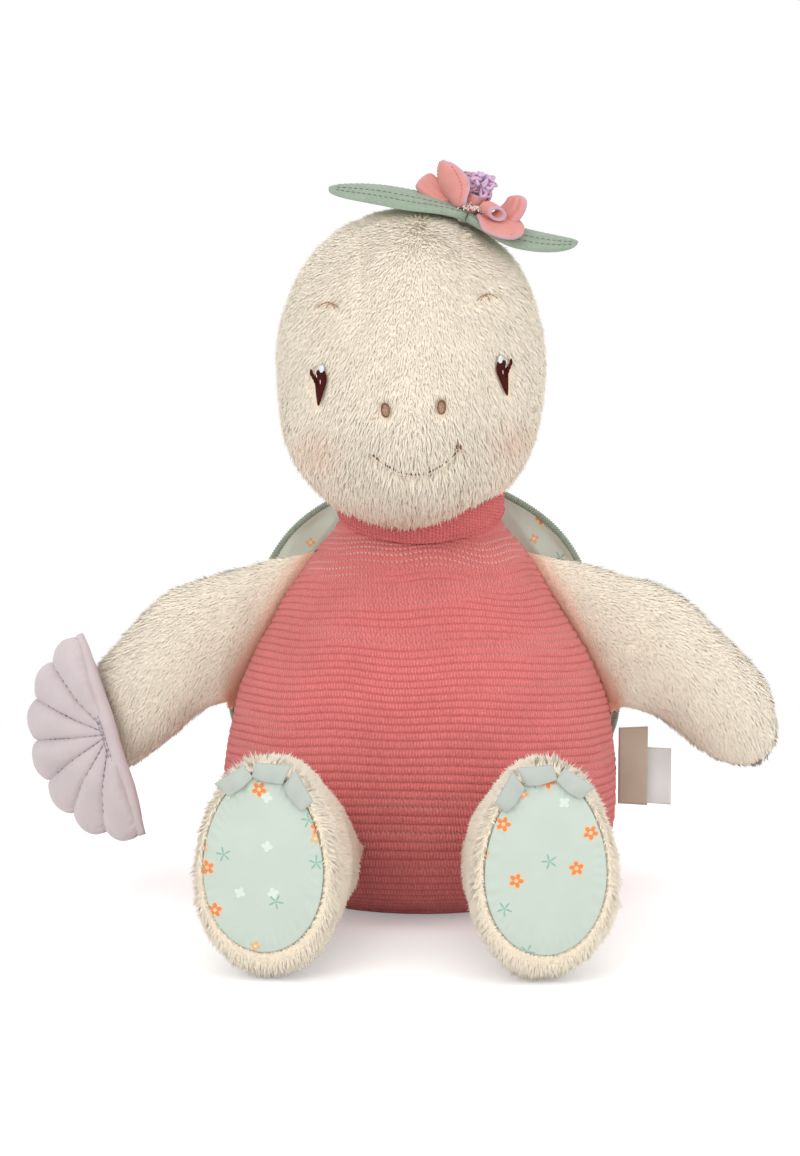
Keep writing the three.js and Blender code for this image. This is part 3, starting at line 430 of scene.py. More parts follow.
def stitches(line: Array, length: float, gap: float, radius: float, normal: Array,
             proud: float = 0.2) -> Patch:
    """Short humped stitches of thread in a run along a line.

    Each stitch is an arc whose height is proud * sin(pi t) over the line.

    Args:
        line: points along the seam.
        length: a stitch's length.
        gap: the cloth left between two stitches.
        radius: the thread's radius.
        normal: the way out of the cloth, one direction or one per point of the line.
        proud: how far a stitch's middle stands off the line.

    Returns:
        The patch.
    """
    steps = np.linalg.norm(np.diff(line, axis=0), axis=1)
    along = np.concatenate([[0], np.cumsum(steps)])
    count = max(1, int(along[-1] / (length + gap)))
    t = np.linspace(0, 1, 4)
    place = (np.arange(count)[:, None] + 0.5) * along[-1] / count + (t - 0.5) * length
    normals = np.broadcast_to(normal, line.shape)
    paths, out = follow(place, along, line), unit(follow(place, along, normals))
    paths = paths + out * (proud * np.sin(PI * t))[:, None]
    return tubes(paths, radius * np.array([0.6, 1, 1, 0.6]), 5, out, 0.7)


def make_object(name: str, patch: Patch, smooth_faces: bool = True) -> bpy.types.Object:
    """A patch as a Blender object at the origin, in metres.

    Args:
        name: its name.
        patch: its shape.
        smooth_faces: whether its faces are shaded as one surface.

    Returns:
        The linked object.
    """
    mesh = bpy.data.meshes.new(name)
    corners = np.concatenate([f.ravel() for f in patch.faces])
    totals = np.concatenate([np.full(len(f), f.shape[1]) for f in patch.faces])
    mesh.vertices.add(len(patch.points))
    mesh.vertices.foreach_set("co", (patch.points * MM).astype(np.float32).ravel())
    mesh.loops.add(len(corners))
    mesh.loops.foreach_set("vertex_index", corners.astype(np.int32))
    mesh.polygons.add(len(totals))
    mesh.polygons.foreach_set("loop_start",
                              np.concatenate([[0], np.cumsum(totals)[:-1]]).astype(np.int32))
    mesh.update(calc_edges=True)
    mesh.polygons.foreach_set("use_smooth", np.full(len(totals), smooth_faces))
    for layer, data in (("UVMap", patch.uv),
                        ("OFBake", patch.bake if patch.normals is not None else None)):
        if data is not None:
            scaled = (data * (MM if layer == "UVMap" else 1.0)).astype(np.float32)
            mesh.uv_layers.new(name=layer).data.foreach_set("uv", scaled.ravel())
    for value, data in patch.values.items():
        attribute = mesh.attributes.new(value, "FLOAT", "POINT")
        attribute.data.foreach_set("value", data.astype(np.float32))
    if patch.normals is not None:
        mesh.normals_split_custom_set_from_vertices(patch.normals.astype(np.float32))
    piece = bpy.data.objects.new(name, mesh)
    bpy.context.scene.collection.objects.link(piece)
    return piece


def add_piece(name: str, patch: Patch, finish: "Finish", body: str, nodes: Sequence[str] = (),
              blend: tuple[str, str, Array, Array] | None = None) -> bpy.types.Object:
    """Builds a piece, dresses it, hangs it on its body unless blended, and hides its CAD nodes.

    Args:
        name: the piece's name.
        patch: its shape.
        finish: its finish.
        body: the CAD body that it rides on, where it isn't blended.
        nodes: the CAD nodes that it stands for.
        blend: two bodies and the turn's start and end points; only whether it is given is used.

    Returns:
        The dressed object.
    """
    piece = make_object(name, patch)
    piece.data.materials.append(finish.material())
    if blend:
        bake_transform(piece)
    else:
        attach(piece, body)
    if nodes:
        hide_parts(*nodes)
    log.info("%s: %d points on %s", name, len(patch.points), body)
    return piece


def thicken(piece: bpy.types.Object, thickness: float, offset: float = -1.0) -> None:
    """Gives a piece of single cloth its thickness."""
    wall = piece.modifiers.new("cloth", "SOLIDIFY")
    wall.thickness, wall.offset = thickness * MM, offset


# Finishes


def srgb(code: str) -> tuple[float, float, float, float]:
    """A hex colour as Blender's linear colour."""
    c = np.array([int(code[i:i + 2], 16) for i in (0, 2, 4)]) / 255
    return (*np.where(c <= 0.04045, c / 12.92, ((c + 0.055) / 1.055) ** 2.4), 1.0)


def empty_tree(owner: Any) -> bpy.types.NodeTree:
    """Gives a material or a world an empty node tree.

    Args:
        owner: the material or the world.

    Returns:
        The tree.
    """
    owner.use_nodes = True
    owner.node_tree.nodes.clear()
    return owner.node_tree


def add_node(tree: bpy.types.NodeTree, kind: str, inputs: Any = (), output: Any = 0,
             **settings: Any) -> Any:
    """Adds a node with its settings, values and links.

    Args:
        tree: the tree that it joins.
        kind: its type, without the "ShaderNode" that each type starts with.
        inputs: a value or a socket for each input, by place or in a dictionary by name.
        output: the name or number of the wanted output, or None for the node itself.
        settings: the node's own settings.

    Returns:
        The output's socket, or the node.
    """
    node = tree.nodes.new(f"ShaderNode{kind}")
    for name, value in settings.items():
        setattr(node, name, value)
    named = inputs if isinstance(inputs, dict) else dict(enumerate(inputs))
    for socket, value in named.items():
        if isinstance(value, bpy.types.NodeSocket):
            tree.links.new(value, node.inputs[socket])
        else:
            node.inputs[socket].default_value = value
    return node if output is None else node.outputs[output]


_made: dict[Any, bpy.types.Material] = {}


@dataclass(frozen=True)
class Finish:
    """What a surface is made of: its colours, its bump and how it shines.

    Subclasses add their own pattern by changing the colour and the height that the bump
    reads.
    """

    slot: str
    colour: str
    roughness: float = 0.9
    sheen: float = 0.2
    sheen_tint: str = "ffffff"
    mottle: float = 0.05
    mottle_size: float = 12.0
    grain: float = 0.5
    grain_size: float = 0.8
    specular: float = 0.3
    bump_height: float = 0.4

    def colour_of(self, tree: bpy.types.NodeTree, place: Any) -> Any:
        """The written colour, lighter and darker in soft patches.

        Args:
            tree: the material's tree.
            place: the socket of the places in the object.

        Returns:
            The colour's socket.
        """
        noise = add_node(tree, "TexNoise", {
            "Vector": place, "Scale": 1 / (self.mottle_size * MM), "Detail": 3.0})
        level = add_node(tree, "MapRange", {
            "Value": noise, "From Min": 0.3, "From Max": 0.7,
            "To Min": 1 - self.mottle, "To Max": 1 + self.mottle})
        return add_node(tree, "HueSaturation", {"Color": srgb(self.colour), "Value": level})

    def height_of(self, tree: bpy.types.NodeTree, place: Any) -> Any:
        """The bump's height socket: fine fibre noise."""
        return add_node(tree, "TexNoise", {
            "Vector": place, "Scale": 1 / (self.grain_size * MM), "Detail": 2.0})

    def material(self) -> bpy.types.Material:
        """The finish as a Blender material.

        Returns:
            The material, made at the first call and kept for the next ones.
        """
        if self in _made:
            return _made[self]
        made = bpy.data.materials.new(f"{type(self).__name__}_{self.slot}")
        tree = empty_tree(made)
        place = add_node(tree, "TexCoord", (), "Object")
        bump = add_node(tree, "Bump", {
            "Height": self.height_of(tree, place), "Strength": self.grain,
            "Distance": self.bump_height * MM})
        shader = add_node(tree, "BsdfPrincipled", {
            "Base Color": self.colour_of(tree, place), "Roughness": self.roughness,
            "Sheen Weight": self.sheen, "Sheen Roughness": 0.5,
            "Sheen Tint": srgb(self.sheen_tint), "Specular IOR Level": self.specular,
            "Normal": bump})
        add_node(tree, "OutputMaterial", {"Surface": shader}, None)
        made.diffuse_color = srgb(self.colour)
        _made[self] = made
        return made


@dataclass(frozen=True)
class PilePlush(Finish):
    """Brushed polyester pile: pale and soft at its tips, with painted warm shade at its roots."""

    # The roots' colour: painted warm shade deep in the pile.
    root: str = "fae6c8"
    # Pink of the sprayed cheeks, also painted as pink bounce light and contact shade from the
    # body.
    blush: str = "efac92"

    def colour_of(self, tree: bpy.types.NodeTree, place: Any) -> Any:
        """Painted root shade to tip colour along each tuft, with sprayed cheek pink and painted
        pink bounce light over both.

        Args:
            tree: the material's tree.
            place: the socket of the places in the object.

        Returns:
            The colour's socket.
        """
        tip, shade, blush = (add_node(tree, "Attribute", (), "Fac", attribute_name=name)
                             for name in ("tip", "shade", "blush"))
        base = super().colour_of(tree, place)
        pile = add_node(tree, "Mix", {"Factor": tip, 6: srgb(self.root), 7: base}, 2,
                        data_type="RGBA")
        # shade paints the bare cloth under the pile darker, and varies each tuft's tone at random.
        level = add_node(tree, "Math", (shade, 0.1, 0.95), operation="MULTIPLY_ADD")
        lit = add_node(tree, "HueSaturation", {"Color": pile, "Value": level})
        return add_node(tree, "Mix", {"Factor": blush, 6: lit, 7: srgb(self.blush)}, 2,
                        data_type="RGBA")


@dataclass(frozen=True)
class Corduroy(Finish):
    """Cotton corduroy: the wales are in the mesh, so only the ribs of its ground and its nap
    are bumped. Its valleys and the grooves between its ribs are painted darker, as painted
    shade, and the base thread shows in the valleys where it is stretched. The cross ribs are
    a third of a millimetre in the real cloth. They are drawn four times as coarse, so that
    they show."""

    # The colour of the painted shade in the valleys and between the ribs.
    valley: str = "a5383f"
    thread: str = "f6cfc4"
    rib: float = 1.25
    rib_step: float = 2.6
    rib_height: float = 1.1
    dash: float = 1.6
    dash_step: float = 1.1
    nap: float = 0.9
    fuzz: float = 0.14

    def ribs(self, tree: bpy.types.NodeTree, pitch: float, step: float) -> Any:
        """Waves round the cloth: (1 + sin(2 pi x / pitch + step * wale)) / 2.

        Args:
            tree: the material's tree.
            pitch: the waves' pitch in millimetres.
            step: how far they step on from one wale to the next, in radians.

        Returns:
            The socket of the waves' height, from 0 to 1.
        """
        row, along = (add_node(tree, "Attribute", (), "Fac", attribute_name=name)
                      for name in ("row", "round"))
        wale = add_node(tree, "Math", (row,), operation="FLOOR")
        shift = add_node(tree, "Math", (wale, step), operation="MULTIPLY")
        wave = add_node(tree, "Math", (along, 2 * PI / pitch, shift), operation="MULTIPLY_ADD")
        wave = add_node(tree, "Math", (wave,), operation="SINE")
        return add_node(tree, "Math", (wave, 0.5, 0.5), operation="MULTIPLY_ADD")

    def height_of(self, tree: bpy.types.NodeTree, place: Any) -> Any:
        """The cross ribs, roughened by the nap.

        Args:
            tree: the material's tree.
            place: the socket of the places in the object.

        Returns:
            The bump's height socket.
        """
        ribs = self.ribs(tree, self.rib, self.rib_step)
        return add_node(tree, "Math", (ribs, self.rib_height, super().height_of(tree, place)),
                        operation="MULTIPLY_ADD")

    def colour_of(self, tree: bpy.types.NodeTree, place: Any) -> Any:
        """Painted shade between the ribs and in the valleys, with pale dashes of base thread in
        the stretched ones.

        Args:
            tree: the material's tree.
            place: the socket of the places in the object.

        Returns:
            The colour's socket.
        """
        groove, stretch = (add_node(tree, "Attribute", (), "Fac", attribute_name=name)
                           for name in ("valley", "stretch"))
        nap = add_node(tree, "TexNoise", {
            "Vector": place, "Scale": 1 / (self.nap * MM), "Detail": 2.0})
        level = add_node(tree, "MapRange", {
            "Value": nap, "From Min": 0.3, "From Max": 0.7,
            "To Min": 1 - self.fuzz, "To Max": 1 + self.fuzz})
        colour = add_node(tree, "HueSaturation", {
            "Color": super().colour_of(tree, place), "Value": level})
        ribs = self.ribs(tree, self.rib, self.rib_step)
        gap = add_node(tree, "Math", (1.0, ribs), operation="SUBTRACT")
        gap = add_node(tree, "Math", (gap, 2.0), operation="POWER")
        dashes = self.ribs(tree, self.dash * self.rib, self.dash_step)
        shown = add_node(tree, "Math", (dashes, 0.35), operation="GREATER_THAN")
        for cover in (stretch, groove):
            shown = add_node(tree, "Math", (shown, cover), operation="MULTIPLY")
        # gap and groove paint shade into the grooves; shown draws the real base thread's dashes.
        for cover, strength, ink in ((gap, 0.34, self.valley), (groove, 0.42, self.valley),
                                     (shown, 1.0, self.thread)):
            share = add_node(tree, "Math", (cover, strength), operation="MULTIPLY")
            colour = add_node(tree, "Mix", {"Factor": share, 6: colour, 7: srgb(ink)}, 2,
                              data_type="RGBA")
        return colour


@dataclass(frozen=True)
class Motif:
    """One scattered shape of a print. Its outline is r < size (w + (1 - w) |cos(n a / 2)|^p),
    with a waist w of a half for petals and near 0 for the thin leaves of a sprig, where the
    power p is 4."""

    spacing: float
    size: float
    shift: float
    petals: float
    waist: float
    ink: str
    heart: str
    shown: float

    def cover(self, tree: bpy.types.NodeTree, place: Any, cell: float) -> tuple[Any, Any, Any]:
        """The shape, turned at random in each cell of a scattered pattern.

        Args:
            tree: the material's tree.
            place: the socket of the places in the object.
            cell: the print's cell in millimetres.

        Returns:
            The sockets of the shape's cover, of its heart's, and of the cell's random number.
        """
        cell = cell * self.spacing
        xyz = add_node(tree, "SeparateXYZ", (place,), None)
        flat = add_node(tree, "CombineXYZ", (xyz.outputs[0], xyz.outputs[2]))
        moved = add_node(tree, "Mapping", {
            "Vector": flat, "Location": (self.shift, self.shift / 2, 0),
            "Scale": (1 / (cell * MM), 1 / (cell * MM), 1)})
        cells = add_node(tree, "TexVoronoi", {
            "Vector": moved, "Scale": 1.0, "Randomness": 0.75}, None, voronoi_dimensions="2D")
        local = add_node(tree, "VectorMath", (moved, cells.outputs["Position"]),
                         operation="SUBTRACT")
        radius = add_node(tree, "VectorMath", (local,), "Value", operation="LENGTH")
        xyz = add_node(tree, "SeparateXYZ", (local,), None)
        chance = add_node(tree, "SeparateColor", (cells.outputs["Color"],), None)
        edge = add_node(tree, "Math", (xyz.outputs[1], xyz.outputs[0]), operation="ARCTAN2")
        edge = add_node(tree, "Math", (chance.outputs[0], 6.28, edge), operation="MULTIPLY_ADD")
        for operation, *numbers in (
                ("MULTIPLY", self.petals / 2), ("COSINE",), ("ABSOLUTE",),
                ("POWER", 1.0 if self.waist > 0.3 else 4.0),
                ("MULTIPLY_ADD", 1 - self.waist, self.waist), ("MULTIPLY", self.size / cell)):
            edge = add_node(tree, "Math", (edge, *numbers), operation=operation)
        shape, heart = (add_node(tree, "Math", (radius, limit), operation="LESS_THAN")
                        for limit in (edge, 0.28 * self.size / cell))
        return shape, heart, chance.outputs[1]


@dataclass(frozen=True)
class PrintedSateen(Finish):
    """Mint cotton sateen with a sparse scattered print: smooth, with a soft shine. Its weave
    is too fine to show, so the bump is a little fibre noise."""

    cell: float = 17.0
    motifs: tuple[Motif, ...] = (
        Motif(1.0, 3.2, 3.3, 5.0, 0.08, "7fae9d", "7fae9d", 0.4),
        Motif(1.1, 2.3, 9.1, 4.0, 0.5, "d6e0d6", "d6e0d6", 0.5),
        Motif(1.0, 3.5, 5.7, 5.0, 0.5, "e9b884", "e9b884", 0.45),
        Motif(1.0, 2.9, 5.7, 5.0, 0.4, "d9763c", "f0c187", 0.45),
        Motif(1.3, 2.2, 1.9, 4.0, 0.4, "e6a56f", "f3d9a6", 0.5))

    def colour_of(self, tree: bpy.types.NodeTree, place: Any) -> Any:
        """Sprigs, pale and orange flowers on the mint ground.

        Args:
            tree: the material's tree.
            place: the socket of the places in the object.

        Returns:
            The colour's socket.
        """
        ground = super().colour_of(tree, place)
        for motif in self.motifs:
            shape, heart, chance = motif.cover(tree, place, self.cell)
            share = add_node(tree, "Math", (chance, 1 - motif.shown), operation="GREATER_THAN")
            for cover in (shape, 0.85):
                share = add_node(tree, "Math", (share, cover), operation="MULTIPLY")
            ink = add_node(tree, "Mix", {
                "Factor": heart, 6: srgb(motif.ink), 7: srgb(motif.heart)}, 2, data_type="RGBA")
            ground = add_node(tree, "Mix", {"Factor": share, 6: ground, 7: ink}, 2,
                              data_type="RGBA")
        return ground


@dataclass(frozen=True)
class Woven(Finish):
    """A plain weave: two sets of threads at right angles. Real ones lie a third of a
    millimetre apart. The pitch here is coarser, so that the weave shows."""

    pitch: float = 0.9
    plane: tuple[int, int] = (0, 2)

    def height_of(self, tree: bpy.types.NodeTree, place: Any) -> Any:
        """Half of 1 + sin(2 pi x / pitch) sin(2 pi z / pitch).

        Args:
            tree: the material's tree.
            place: the socket of the places in the object.

        Returns:
            The bump's height socket.
        """
        xyz, waves = add_node(tree, "SeparateXYZ", (place,), None), []
        for k in self.plane:
            wave = add_node(tree, "Math", (xyz.outputs[k], 2 * PI / (self.pitch * MM)),
                            operation="MULTIPLY")
            waves.append(add_node(tree, "Math", (wave,), operation="SINE"))
        crossed = add_node(tree, "Math", waves, operation="MULTIPLY")
        return add_node(tree, "Math", (crossed, 0.5, 0.5), operation="MULTIPLY_ADD")


@dataclass(frozen=True)
class EdgedSatin(Woven):
    """Brushed satin with lilac thread along its cut edges."""

    edge: str = "c0a3b6"

    def colour_of(self, tree: bpy.types.NodeTree, place: Any) -> Any:
        """The cloth's colour, with the edge thread's over it.

        Args:
            tree: the material's tree.
            place: the socket of the places in the object.

        Returns:
            The colour's socket.
        """
        edge = add_node(tree, "Attribute", (), "Fac", attribute_name="edge")
        share = add_node(tree, "Math", (edge, 0.8), operation="MULTIPLY")
        cloth = super().colour_of(tree, place)
        return add_node(tree, "Mix", {"Factor": share, 6: cloth, 7: srgb(self.edge)}, 2,
                        data_type="RGBA")


# Long-pile polyester plush: matt cream, with soft depth and painted shade between its tufts.
FUR = PilePlush("cream_fur", "fff5e3", 0.95, 0.0, "fff2e0", mottle=0.03, grain=0.1)
# Cotton corduroy: velvety wales that catch light on top, with painted shade between them.
CORDUROY = Corduroy("pink_corduroy", "e07a77", 0.92, 0.35, "ffc9c4", mottle=0.06,
                    mottle_size=26, grain=0.8)
# Rib-knit cotton of the collar: finer ribs in the same dye, a shade deeper, and the same
# painted shade between them.
RIB = Corduroy("pink_rib", "dc7474", 0.92, 0.35, "ffc9c4", mottle=0.05, grain=0.8, rib=1.5)
# Plain calico of the filled neck: flat cream, nearly all hidden.
FILL = Woven("white_fill", "eadcc8", 0.95, 0.1, grain=0.4)
# Cotton sateen of the soles: smooth mint with a faint shine and an open print.
SOLE_SATEEN = PrintedSateen("mint_satin", "bdc9bd", 0.5, 0.1, mottle=0.02, grain=0.12,
                            specular=0.4)
# The same sateen inside the carapace, a little warmer and more sparsely printed.
SHELL_SATEEN = PrintedSateen("mint_satin", "c6d0c0", 0.5, 0.1, mottle=0.04, grain=0.12,
                             specular=0.4, cell=21.0)
# Polyester satin of the toe tabs: plain grey mint, with soft lights on its folds.
TAB_SATEEN = Finish("grey_mint_satin", "afb6ae", 0.5, 0.1, mottle=0.03, grain=0.1,
                    specular=0.4)
# The sateen of the carapace's cover, quilted, with the widest print.
COVER_SATEEN = PrintedSateen("mint_satin", "ccd6c6", 0.5, 0.1, mottle=0.04, grain=0.12,
                             specular=0.4, cell=24.0)
# Overlocking thread in sage: dull, with light and dark turns.
PIPING = Finish("sage_piping", "8f9b89", 0.85, 0.2, mottle=0.1, mottle_size=2.0)
# The darker sage thread of the leaves' topstitching, which stands out on them.
PIPING_DARK = Finish("sage_piping", "71806f", 0.85, 0.2, mottle=0.1, mottle_size=2.0)
# Cotton poplin of the leaves: matt sage with a visible weave.
LEAF_COTTON = Woven("sage_piping", "93a390", 0.85, 0.3, mottle=0.06, mottle_size=5.0,
                    grain=0.6, plane=(0, 1))
# Cotton velour of the fan's face: greyish lilac with a bloom at its edges.
VELOUR = Finish("lilac_velour", "c6b9bb", 0.9, 0.4, mottle=0.05, mottle_size=14.0,
                grain=0.35, grain_size=0.6)
# The fan's back, in the same velour, painted darker as painted shade.
VELOUR_BACK_SHADED = Finish("lilac_velour", "aea2a2", 0.9, 0.3, mottle=0.07, grain=0.4)
# Quilting thread of the fan: a darker lilac that draws its lines.
LILAC_THREAD = Finish("lilac_velour", "8f7f97", 0.8, 0.1)
# Brushed satin of the petals and the bud: soft pink, edged in lilac.
PETAL_CLOTH = EdgedSatin("pink_satin", "d5918a", 0.75, 0.25, "ffd6cf", mottle=0.05,
                         mottle_size=6.0, grain=0.3, pitch=0.7)
# Stitching thread of the petals: a deeper pink.
PETAL_THREAD = Finish("pink_satin", "c4625c", 0.8, 0.1)
# Frayed ends of the bud's satin: pale and fluffy.
FRINGE = Finish("pink_satin", "f0dcd6", 0.85, 0.2)
# Acrylic yarn of the pompom: soft lilac, lighter and darker from strand to strand.
YARN = Finish("lilac_yarn", "cdabca", 0.9, 0.4, mottle=0.12, mottle_size=2.0)
# Rayon embroidery thread of the eyes: near black with a red-brown light.
DARK_THREAD = Finish("dark_thread", "470f08", 0.7, 0.0, mottle=0.3, mottle_size=1.0,
                     specular=0.15)
# The same thread in brown, for the smile and the nostrils' rims.
BROWN_THREAD = Finish("brown_thread", "7f5340", 0.6, 0.1, mottle=0.15, mottle_size=1.5)
# The nostrils' filling in light brown, with strong streaks.
NOSE_THREAD = Finish("brown_thread", "a3836e", 0.6, 0.1, mottle=0.35, mottle_size=0.8)
# The brows' thread, light and thin.
BROW_THREAD = Finish("brown_thread", "a78068", 0.6, 0.1, mottle=0.15, mottle_size=1.5)
# Silver-white thread of the glints: the brightest and shiniest spot.
PALE_THREAD = Finish("pale_thread", "dfe4e6", 0.5, 0.1, mottle=0.05, specular=0.5)
# Taffeta ribbon of the woven label: smooth beige.
BEIGE_RIBBON = Woven("beige_ribbon", "b8a896", 0.6, 0.1, grain=0.5, pitch=0.7)
# Nylon tape of the care label: thin, smooth and off-white.
WHITE_RIBBON = Woven("white_ribbon", "d9d6d4", 0.55, 0.1, grain=0.3, pitch=0.7)


# Fur


@dataclass(frozen=True)
class Coat:
    """Short tapered tufts on a skin, combed one way and drawn together in soft clumps."""

    count: int
    length: float = 3.8
    root: float = 0.75
    flat: float = 0.15
    lay: float = 0.95
    jitter: float = 0.1
    clump: float = 0.2
    clump_size: float = 9.0
    least_lift: float = 0.16
    seed: int = 7

    def grow(self, skin: Patch, comb: Array, trim: Array) -> Patch:
        """The skin with its tufts.

        A tuft is a closed three-sided spike. It leaves the skin along normal + lay * comb,
        with some of the clumps' slope and some chance added, and its normals stay close to
        the skin's, so that the coat is shaded as one soft surface. Where the pile is longer
        than usual it is also looser and more clumped.

        Args:
            skin: the cloth under the pile.
            comb: the way the pile is combed, at the skin's points.
            trim: the share of the full length at the skin's points; 0 leaves it bare.

        Returns:
            One patch of skin and tufts.
        """
        rng = np.random.default_rng(self.seed)
        normals = skin.vertex_normals()
        tri = skin.triangles()
        a, b, c = (skin.points[tri[:, k]] for k in range(3))
        weight = np.linalg.norm(np.cross(b - a, c - a), axis=1) * (trim[tri].min(1) > 0.02)
        total = np.cumsum(weight)
        place = (np.arange(self.count) + rng.random(self.count)) / self.count * total[-1]
        tri = tri[np.minimum(np.searchsorted(total, place), len(tri) - 1)]
        r = np.sqrt(rng.random(self.count))
        s = rng.random(self.count)
        share = np.stack([1 - r, r * (1 - s), r * s], -1)

        def at(data: Array) -> Array:
            """The skin's values at the tufts' roots."""
            return np.einsum("nk,nk...->n...", share, data[tri])

        root, normal, keep = at(skin.points), unit(at(normals)), at(trim)
        way = unit(at(comb))
        way = way - (way * normal).sum(1, keepdims=True) * normal
        way = way / np.maximum(np.linalg.norm(way, axis=1, keepdims=True), 0.5)
        fine = Ripple(self.clump_size / 2.3, self.seed + 1)
        slope = Ripple(self.clump_size, self.seed).slope(root) + 0.6 * fine.slope(root)
        slope -= (slope * normal).sum(1, keepdims=True) * normal
        loose = 1 + 1.6 * np.maximum(keep - 1, 0)[:, None]
        chance = rng.normal(size=(self.count, 3)) * self.jitter
        stand = normal * np.sqrt(1 - self.lay ** 2)
        way = unit(stand * loose + self.lay * way + loose * (self.clump * slope + chance))
        lift = np.maximum(0, self.least_lift - (way * normal).sum(1, keepdims=True))
        way = unit(way + normal * lift)
        length = self.length * keep * rng.uniform(0.7, 1.15, self.count)
        side = unit(np.cross(way, normal))
        other = np.cross(side, way)
        angle = PI / 2 + rng.normal(0, 0.35, self.count)[:, None] + np.arange(3) * 2 * PI / 3
        ring = (np.cos(angle)[..., None] * side[:, None]
                + self.flat * np.sin(angle)[..., None] * other[:, None])
        thick = self.root * rng.uniform(0.8, 1.25, self.count) * np.sqrt(np.maximum(keep, 0.2))
        feet = (root - 0.5 * normal)[:, None] + thick[:, None, None] * ring
        tip = (root + way * length[:, None])[:, None]
        points = np.concatenate([feet, tip], 1).reshape(-1, 3)
        points[:, 2] = np.maximum(points[:, 2], 0.05)
        foot_normals = unit(normal[:, None] + 0.35 * ring)
        tip_normals = unit(normal + 0.35 * way)[:, None]
        n = np.arange(self.count)[:, None] * 4
        sides = [n + np.array(k) for k in ((0, 1, 3), (1, 2, 3), (2, 0, 3), (0, 2, 1))]
        faces = np.stack(sides, 1).reshape(-1, 3)
        cells = int(np.ceil(np.sqrt(self.count)))
        number = np.arange(self.count)
        corner = np.stack([number % cells, number // cells], -1)[:, None, None] / cells
        cell = np.array([[[0, 0], [1, 0], [0.5, 3]], [[1, 0], [2, 0], [1.5, 3]],
                         [[2, 0], [3, 0], [2.5, 3]], [[0, 0], [0.4, 1], [0.8, 0]]])
        cell = cell / (3.6 * cells)
        bake = (corner + cell + 0.1 / cells).reshape(-1, 2) * (1, 0.68) + (0, 0.32)
        shade = rng.random(self.count)
        # The tufts' feet take the root colour, as painted shade; shade is a random tone per tuft.
        values = {"tip": np.tile([0.4, 0.4, 0.4, 1.0], self.count), "shade": np.repeat(shade, 4)}
        for name, data in skin.values.items():
            values.setdefault(name, np.repeat(at(data), 4))
        shown = np.concatenate([foot_normals, tip_normals], 1).reshape(-1, 3)
        tufts = Patch(points, [faces], values, shown, np.zeros((faces.size, 2)), bake)
        tufts.outward_from(points[:4].mean(0))
        skin.normals = normals
        skin.bake = skin.bake * (1, 0.31)
        # The bare cloth under the pile takes the root colour and is painted darker, as painted
        # shade.
        skin.values["tip"] = np.full(len(normals), 0.35)
        skin.values["shade"] = np.full(len(normals), -1.0)
        return join([skin, tufts])


# Body


@dataclass(frozen=True)
class Neck:
    """The leaning place of the neck, with the collar round it."""

    width: float = 67
    depth: float = 66
    lean: float = 15
    forward: float = 2
    base: float = 172
    collar: float = 13
    pivot_height: float = 13

    @property
    def axis(self) -> Array:
        """The way up the neck."""
        return turn(Z, X, self.lean)

    @property
    def ahead(self) -> Array:
        """The way back across the neck."""
        return turn(Y, X, self.lean)

    @property
    def foot(self) -> Array:
        """The middle of the neck's opening."""
        return np.array([0, -self.forward, self.base])

    @property
    def pivot(self) -> Array:
        """The point that the head nods about."""
        return self.foot + self.axis * self.pivot_height

    def ring(self, angle: Array, proud: Any, height: Any) -> Array:
        """Points round the neck: an oval at a distance from its cloth and a height.

        Args:
            angle: how far round, in radians.
            proud: the distance out from the neck's cloth.
            height: the height up the neck from its foot.

        Returns:
            The points.
        """
        angle, proud, height = np.broadcast_arrays(angle, proud, height)
        return (self.foot + ((self.width / 2 + proud) * np.cos(angle))[..., None] * X
                + ((self.depth / 2 + proud) * np.sin(angle))[..., None] * self.ahead
                + height[..., None] * self.axis)


